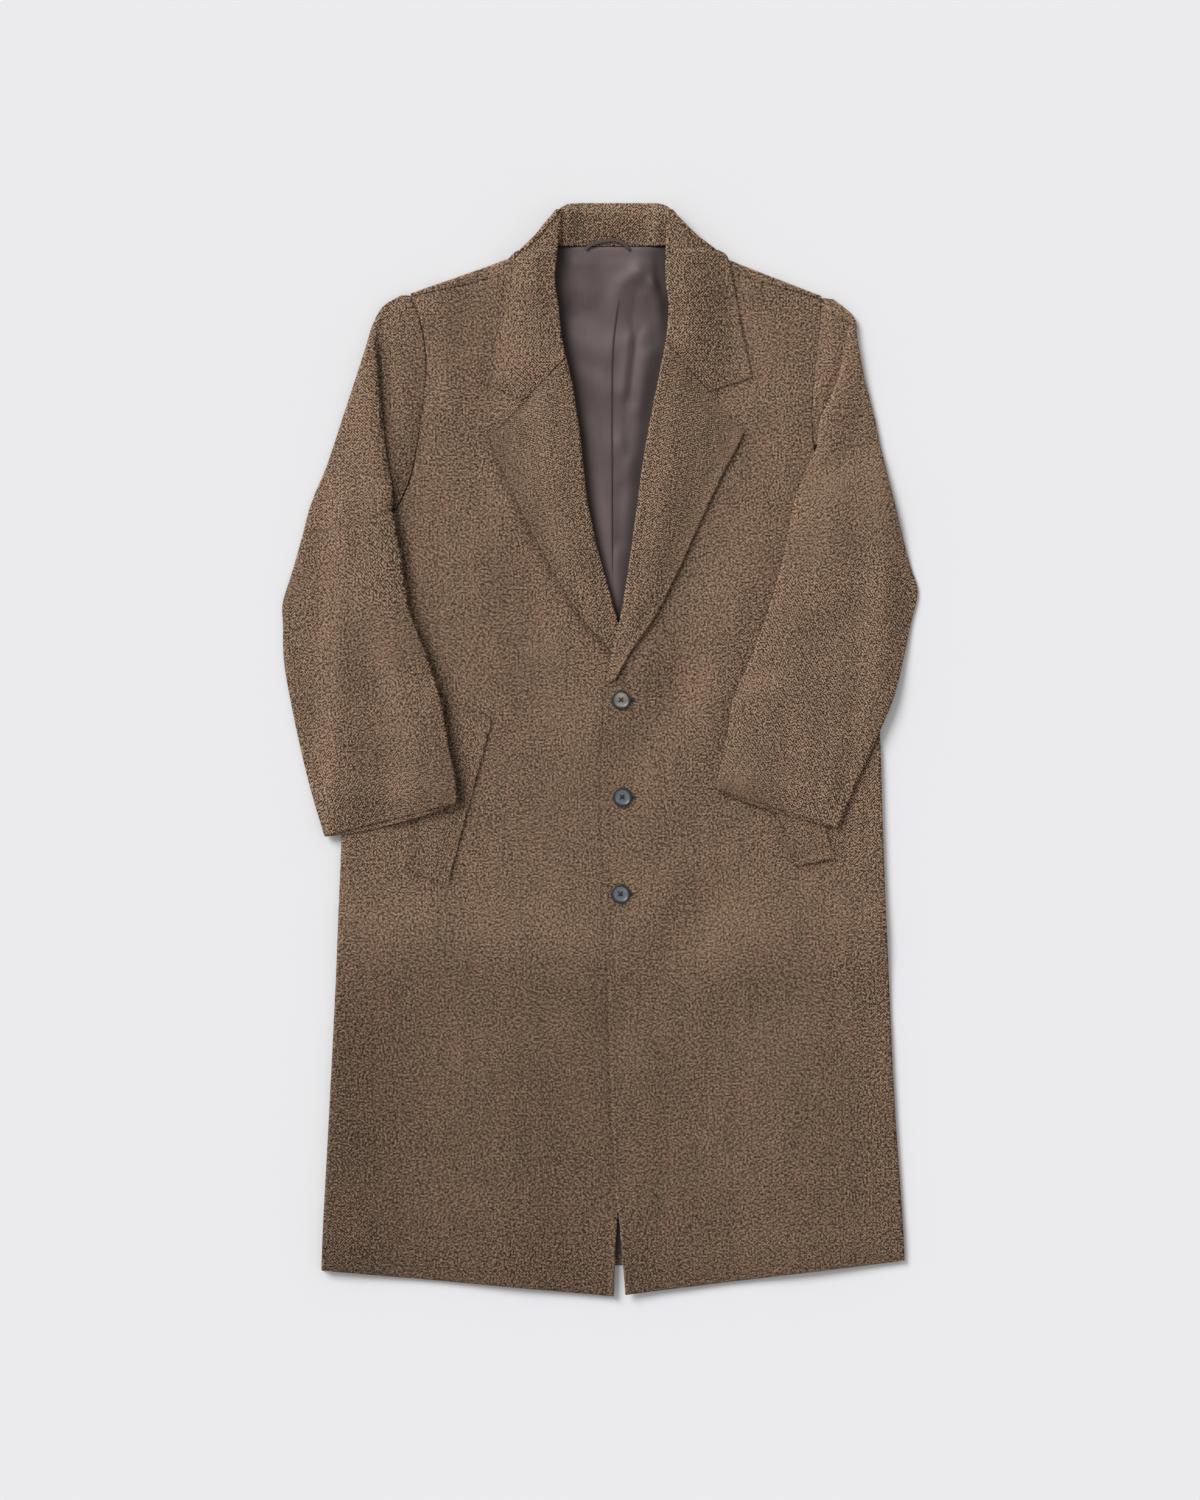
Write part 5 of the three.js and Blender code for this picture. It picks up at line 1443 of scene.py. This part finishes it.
def horn_button(name, x, y):
    z = button_z(x, y)
    disc = lathe(f"button_{name}_horn", BUTTON_PROFILE, (x, y, z), BUTTON_ROUND)
    drills = []
    for i in (-1, 1):
        for j in (-1, 1):
            hole = lathe("drill", table("r z", (0, -1), (HOLE_R, -1), (HOLE_R, 6), (0, 6)),
                         (x + i * HOLE_APART, y + j * HOLE_APART, z), 20)
            drills.append(hole)
    for hole in drills:
        cut = disc.modifiers.new("hole", "BOOLEAN")
        cut.operation = "DIFFERENCE"
        cut.object = hole
        cut.solver = "EXACT"
    bpy.context.view_layer.update()
    shape = bpy.data.meshes.new_from_object(disc.evaluated_get(bpy.context.evaluated_depsgraph_get()))
    disc.modifiers.clear()
    disc.data = shape
    shape.name = disc.name
    for hole in drills:
        bpy.data.objects.remove(hole)
    shape.set_sharp_from_angle(angle=math.radians(40))
    return disc


# %% [markdown]
# The thread crosses from hole to hole in two strands each way. Beside the button lies the end of a worked
# buttonhole: close stitches along a slit, fanned round its end.

# %% Thread and buttonholes
def button_thread(name, x, y):
    z = button_z(x, y)
    strands = []
    for across in (-1, 1):
        for shift in (-THREAD_HALF_GAP, THREAD_HALF_GAP):
            path = []
            for t in steps(12):
                off = lerp(-HOLE_APART, HOLE_APART, t)
                arch = math.sin(math.pi * t)
                rise = THREAD_Z + THREAD_ARCH * arch + (CROSS_LIFT if across > 0 else 0) * arch
                sink = THREAD_SINK * (ramp(abs(t - 0.5), 0.4, 0.5))
                path.append((x + off + shift * across * 0.7, y + off * across - shift * 0.7, z + rise - sink))
            strands.append(tube(path, THREAD_R))
    return join(f"button_{name}_thread", strands)


def buttonhole(name, x, y):
    """The end of the buttonhole that shows beside the button: a slit inside a ring of close stitches."""
    strands = []
    start, end = x + HOLE_START, x + HOLE_END
    for row in (-1, 1):
        for t in steps(STITCHES - 1):
            px, py = lerp(start, end, t), y + HOLE_Y
            base = front_z("right", px, py) + HALF + swell(px, py)
            path = [(px + ahead, py + row * out, base + up) for ahead, out, up in STITCH]
            strands.append(tube(path, STITCH_R, 5))
    base = front_z("right", end, y) + HALF + swell(end, y)
    for t in steps(6):
        turn = lerp(-math.pi / 2, math.pi / 2, t)
        path = [(end + math.cos(turn) * out, y + HOLE_Y + math.sin(turn) * out, base + up)
                for out, up in END_STITCH]
        strands.append(tube(path, STITCH_R, 5))
    low, high, far = y + HOLE_Y - 0.45, y + HOLE_Y + 0.45, end + 0.4
    corners = ((start, low), (far, low), (far, high), (start, high))
    slit = [(*corner, base + up) for up in SLIT_Z for corner in corners]
    box_faces = [(0, 1, 2, 3), (7, 6, 5, 4), (0, 4, 5, 1), (1, 5, 6, 2), (2, 6, 7, 3), (3, 7, 4, 0)]
    strands.append((slit, box_faces))
    return join(f"buttonhole_{name}", strands)


buttons, threads, holes = {}, {}, {}
for name, (x, y) in BUTTONS.items():
    buttons[name] = horn_button(name, x, y)
    threads[name] = button_thread(name, x, y)
    holes[name] = buttonhole(name, x, y)
print("buttons", len(buttons))

# %% [markdown]
# ## Shader maths as plain Python
# A node tree is hard to read as a list of links. `Value` wraps one socket and overloads the operators, so
# a weave can be written as a formula. `Tree.node` adds any other node from its type, settings and socket
# values.

# %% Shader maths
class Value:
    """A socket of a node tree that takes part in Python arithmetic."""

    def __init__(self, tree, socket):
        self.tree, self.socket = tree, socket

    def math(self, operation, *others):
        return self.tree.node("ShaderNodeMath", {"operation": operation}, dict(enumerate((self, *others))))

    def clipped(self):
        return self.tree.node("ShaderNodeClamp", {}, {"Value": self})


def operator(operation):
    return lambda value, other: value.math(operation, other)


OPERATORS = {"add": "ADD", "sub": "SUBTRACT", "mul": "MULTIPLY", "truediv": "DIVIDE"}
for python_name, operation in OPERATORS.items():
    setattr(Value, f"__{python_name}__", operator(operation))


class Tree:
    """The node tree of one material."""

    def __init__(self, name):
        self.material = bpy.data.materials.new(name)
        self.material.use_nodes = True
        self.nodes = self.material.node_tree.nodes
        self.links = self.material.node_tree.links
        self.shader = self.nodes["Principled BSDF"]

    def node(self, kind, settings, inputs, out=0):
        made = self.nodes.new(kind)
        for key, value in settings.items():
            setattr(made, key, value)
        self.feed(made, inputs)
        return Value(self, made.outputs[out])

    def feed(self, made, inputs):
        for key, value in inputs.items():
            if isinstance(value, Value):
                self.links.new(value.socket, made.inputs[key])
            else:
                made.inputs[key].default_value = value

    def mix(self, a, b, factor):
        """A colour between two colours."""
        return self.node("ShaderNodeMix", {"data_type": "RGBA"}, {0: factor, 6: a, 7: b}, 2)

    def noise(self, vector, scale, detail=2.0):
        inputs = {"Vector": vector, "Scale": scale, "Detail": detail}
        return self.node("ShaderNodeTexNoise", {}, inputs)

    def vector(self, x, y, z=0.0):
        return self.node("ShaderNodeCombineXYZ", {}, {0: x, 1: y, 2: z})

    def pattern(self, uv_map="pattern"):
        """Places on the flat pattern in millimetres, across and along the grain."""
        place = self.node("ShaderNodeUVMap", {"uv_map": uv_map}, {})
        return (self.node("ShaderNodeSeparateXYZ", {}, {0: place}, 0),
                self.node("ShaderNodeSeparateXYZ", {}, {0: place}, 1))

    def finish(self, inputs):
        self.feed(self.shader, inputs)
        return self.material


# %% [markdown]
# ## The wool
# The coating is woven of light and dark yarns in short slanting strokes whose slant flips from band to
# band, a small herringbone. Seen from a step away it is a lively brown: streaks of redder and greener yarn
# run along the warp, and every few millimetres a pale or a dark knop stands out. All of the weave comes from
# the place on the pattern, so it follows the grain of each piece. Light and shade are also painted into the
# colour from the second map: slopes facing the key light lighter, the painted shade beside edges and towards
# the hem darker.

# %% Wool coating
WOOL_DARK = (0.036, 0.020, 0.011, 1)
WOOL_LIGHT = (0.450, 0.300, 0.196, 1)
WOOL_RED = (0.205, 0.113, 0.077, 1)
WOOL_OLIVE = (0.168, 0.120, 0.077, 1)
WOOL_PAINTED_SHADE = (0.010, 0.006, 0.003, 1)
FULL_TURN = 2 * 3.1416
STROKE, KNOPS, FLECKS = 0.85, 5.4, 2.4
RELIEF_LIGHT, WARP_LIGHT, THICK_LIGHT, PATCH_LIGHT, MIDDLE_LIGHT = 0.64, 0.6, 0.26, 0.10, 0.43
# How strongly the painted light of slopes and the painted shade of the second map change the colour.
PAINTED_SLOPE_GAIN, PAINTED_SHADE_GAIN, PAINTED_SHADE_DEPTH = 0.95, 0.10, 0.25


def wool(name, band=10.5, rib=3.3):
    tree = Tree(name)
    across, along = tree.pattern()
    painted_slope_light, tone_and_painted_light = tree.pattern("painted_light_map")
    waver = (tree.noise(tree.vector(across * 0.05, along * 0.05), 1.0) - 0.5) * 1.6
    turned = ((across + waver) / (band / 2)).math("PINGPONG", 1.0) * (band / 2)
    stroke = ((along + turned * 1.15) / rib * FULL_TURN).math("SINE")
    knops = tree.noise(tree.vector(across * 0.56, along * 0.52), 1.0, 0.0) - 0.5
    flecks = tree.noise(tree.vector(across * 0.38, along * 0.32, 7.0), 1.0, 0.0) - 0.5
    warp = tree.noise(tree.vector(across * 0.40, along * 0.030), 1.0, 1.0) - 0.5
    thick = tree.noise(tree.vector(across * 0.07, along * 0.008), 1.0, 2.0) - 0.5
    patches = tree.noise(tree.vector(across * 0.020, along * 0.016), 1.0, 2.0) - 0.5
    relief = stroke * STROKE + knops * KNOPS + flecks * FLECKS
    # Painted light and shade: slopes facing the key light are painted lighter, and the second map adds its
    # painted shade.
    shade = painted_slope_light * PAINTED_SLOPE_GAIN + tone_and_painted_light * PAINTED_SHADE_GAIN
    light = (relief * RELIEF_LIGHT + warp * WARP_LIGHT + thick * THICK_LIGHT + patches * PATCH_LIGHT
             + shade + MIDDLE_LIGHT).clipped()
    tint = (warp * 1.0 + thick * 1.8 + patches * 1.8 + 0.5).clipped()
    yarns = tree.mix(WOOL_OLIVE, WOOL_RED, tint)
    colour = tree.mix(tree.mix(WOOL_DARK, yarns, (light * 2.0).clipped()), WOOL_LIGHT,
                      ((light - 0.5) * 2.0).clipped())
    # Painted shade: where the second map is below zero the colour is darkened further towards a near-black
    # shade colour.
    painted_shade_colour = tree.mix(WOOL_PAINTED_SHADE, colour, (tone_and_painted_light * PAINTED_SHADE_DEPTH + 1.0).clipped())
    bump = tree.node("ShaderNodeBump", {}, {"Height": relief, "Strength": 0.7, "Distance": 0.0007})
    return tree.finish({"Base Color": painted_shade_colour, "Roughness": 0.93, "Normal": bump, "Specular IOR Level": 0.2,
                        "Sheen Weight": 0.12, "Sheen Roughness": 0.55, "Sheen Tint": (0.64, 0.50, 0.39, 1)})


coating = wool("wool_coating")

# %% [markdown]
# ## The lining, horn and thread
# Satin floats long threads over the surface: it is smooth along one way, so its roughness is low and a
# very fine line bump runs across it.

# %% Satin
def satin():
    tree = Tree("satin_lining")
    across, along = tree.pattern()
    threads_bump = (across / 0.5 * FULL_TURN).math("SINE") * 0.3 + tree.noise(
        tree.vector(across * 2.2, along * 0.15), 1.0) * 0.7
    cloud = tree.noise(tree.vector(across * 0.02, along * 0.015), 1.0, 3.0)
    streak = tree.noise(tree.vector(across * 0.9, along * 0.02), 1.0, 2.0)
    # Painted light and shadow: the lining is painted lighter on slopes that face the key light, and darker
    # beside the rolls of collar and lapels, where their shadow falls.
    painted_slope_light, painted_lit = tree.pattern("painted_light_map")
    tone_and_painted_light = tree.mix((0.066, 0.046, 0.046, 1), (0.138, 0.096, 0.097, 1),
                    (cloud * 0.5 + streak * 0.3 + painted_slope_light * 1.6 + 0.1).clipped())
    colour = tree.mix((0.012, 0.007, 0.004, 1), tone_and_painted_light, (painted_lit * 0.9 + 0.1).clipped())
    bump = tree.node("ShaderNodeBump", {}, {"Height": threads_bump, "Strength": 0.18, "Distance": 0.0003})
    rough = cloud * 0.1 + 0.48
    return tree.finish({"Base Color": colour, "Roughness": rough, "Normal": bump, "Specular IOR Level": 0.4,
                        "Anisotropic": 0.5, "Sheen Weight": 0.15, "Sheen Roughness": 0.4,
                        "Sheen Tint": (0.8, 0.7, 0.72, 1)})


satin_lining = satin()

# %% [markdown]
# The horn is mottled: a fine grain, and paler clouds where it was cut near the root. Thread is a plain
# tone with a tight twist.

# %% Horn and thread
def horn(name, low, high, pale_from):
    tree = Tree(name)
    place = tree.node("ShaderNodeTexCoord", {}, {}, 3)
    cloud = tree.noise(place, 95.0, 3.0)
    fine = tree.noise(place, 420.0, 3.0)
    pale = ((cloud - pale_from) * 5.0).clipped()
    colour = tree.mix(tree.mix(low, high, fine), (0.36, 0.28, 0.20, 1), pale * 0.8)
    bump = tree.node("ShaderNodeBump", {}, {"Height": fine, "Strength": 0.12, "Distance": 0.0002})
    return tree.finish({"Base Color": colour, "Roughness": fine * 0.16 + 0.28, "Normal": bump,
                        "Coat Weight": 0.2, "Coat Roughness": 0.2})


def thread(name, colour):
    tree = Tree(name)
    place = tree.node("ShaderNodeTexCoord", {}, {}, 3)
    twist = tree.noise(place, 2600.0, 2.0)
    shade = tree.mix(tuple(c * 0.55 for c in colour[:3]) + (1,), colour, twist)
    bump = tree.node("ShaderNodeBump", {}, {"Height": twist, "Strength": 0.5, "Distance": 0.0002})
    return tree.finish({"Base Color": shade, "Roughness": 0.8, "Normal": bump})


dark_horn = horn("dark_horn", (0.008, 0.009, 0.012, 1), (0.028, 0.030, 0.037, 1), 0.75)
# Painted reflection: the pale grey-blue dish of the lower buttons stands for the bright surround mirrored in
# the horn.
horn_with_painted_reflection = horn("horn_with_painted_reflection", (0.065, 0.070, 0.082, 1), (0.150, 0.158, 0.176, 1), 0.58)
tan_horn = horn("tan_horn", (0.085, 0.080, 0.080, 1), (0.210, 0.190, 0.170, 1), 0.40)
black_thread = thread("black_thread", (0.02, 0.017, 0.016, 1))
brown_thread = thread("brown_thread", (0.075, 0.05, 0.038, 1))

# %% [markdown]
# ## Dressing the pieces
# Each piece stands for its plain solid, rides with it and takes its finish.

# %% Finish and frame of each piece
def dress(thing, material, node=None):
    thing.data.materials.clear()
    thing.data.materials.append(material)
    if node:
        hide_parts(node)
    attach(thing, "root")


def paint_dish(thing, centre, material):
    """The turned dish of a button is paler than its polished rim: a grey-blue painted reflection on the lower
    buttons, tan horn on the top one.
    """
    thing.data.materials.append(material)
    for polygon in thing.data.polygons:
        off = math.dist(polygon.center[:2], (centre[0] * MM, centre[1] * MM))
        polygon.material_index = 1 if off < DISH_R * MM and polygon.normal.z > 0.3 else 0


WOOLLEN = {"front": fronts, "back": backs, "lapel": lapels, "pocket_welt": welts, "sleeve_top": tops,
           "sleeve_under": unders}
for side in SIGN:
    for node, pair in WOOLLEN.items():
        dress(pair[side], coating, f"{node}_{side}")
dress(collar_cloth, coating, "collar")
dress(lining_cloth, satin_lining, "back_lining")
dress(loop_cloth, satin_lining, "hanger_loop")
for name in BUTTONS:
    dress(buttons[name], dark_horn, f"button_{name}")
    paint_dish(buttons[name], BUTTONS[name], tan_horn if name == "top" else horn_with_painted_reflection)
    dress(threads[name], black_thread)
    dress(holes[name], brown_thread)

# %% [markdown]

# %% [markdown]
# ## Floor, light and camera
# A pale seamless floor, a soft key light from the upper left and an even white surround, as in a studio
# that photographs clothes from above.

# %% Floor, light and camera
FLOOR_SIZE = 12.0


def floor():
    mesh = bpy.data.meshes.new("floor")
    half = FLOOR_SIZE / 2
    corners = [(-half, -half, 0), (half, -half, 0), (half, half, 0), (-half, half, 0)]
    mesh.from_pydata(corners, [], [(0, 1, 2, 3)])
    thing = bpy.data.objects.new("floor", mesh)
    bpy.context.scene.collection.objects.link(thing)
    tree = Tree("pale_floor")
    thing.data.materials.append(tree.finish({"Base Color": (0.80, 0.80, 0.815, 1), "Roughness": 0.9,
                                             "Specular IOR Level": 0.0}))


floor()
SURROUND = 0.50
scene = bpy.context.scene
scene.view_settings.view_transform = "Standard"
world = bpy.data.worlds.new("studio")
world.use_nodes = True
surround = world.node_tree.nodes["Background"]
surround.inputs["Color"].default_value = (1, 1, 1, 1)
surround.inputs["Strength"].default_value = SURROUND
scene.world = world

KEY_FROM = Vector((-0.62, 0.60, 0.75))
KEY_ENERGY, KEY_ANGLE = 2.57, 30
key = bpy.data.lights.new("key", "SUN")
key.energy = KEY_ENERGY
key.angle = math.radians(KEY_ANGLE)
key_light = bpy.data.objects.new("key", key)
key_light.rotation_mode = "QUATERNION"
key_light.rotation_quaternion = KEY_FROM.to_track_quat("Z", "Y")
scene.collection.objects.link(key_light)

FRAME_HEIGHT = 1.725
SENSOR, LENS = 36.0, 100.0
VIEW_Y = -0.0006
camera = bpy.data.cameras.new("camera")
camera.sensor_width, camera.lens = SENSOR, LENS
camera.clip_end = 100
view = bpy.data.objects.new("camera", camera)
view.location = (0, VIEW_Y, FRAME_HEIGHT * LENS / SENSOR)
scene.collection.objects.link(view)
scene.camera = view
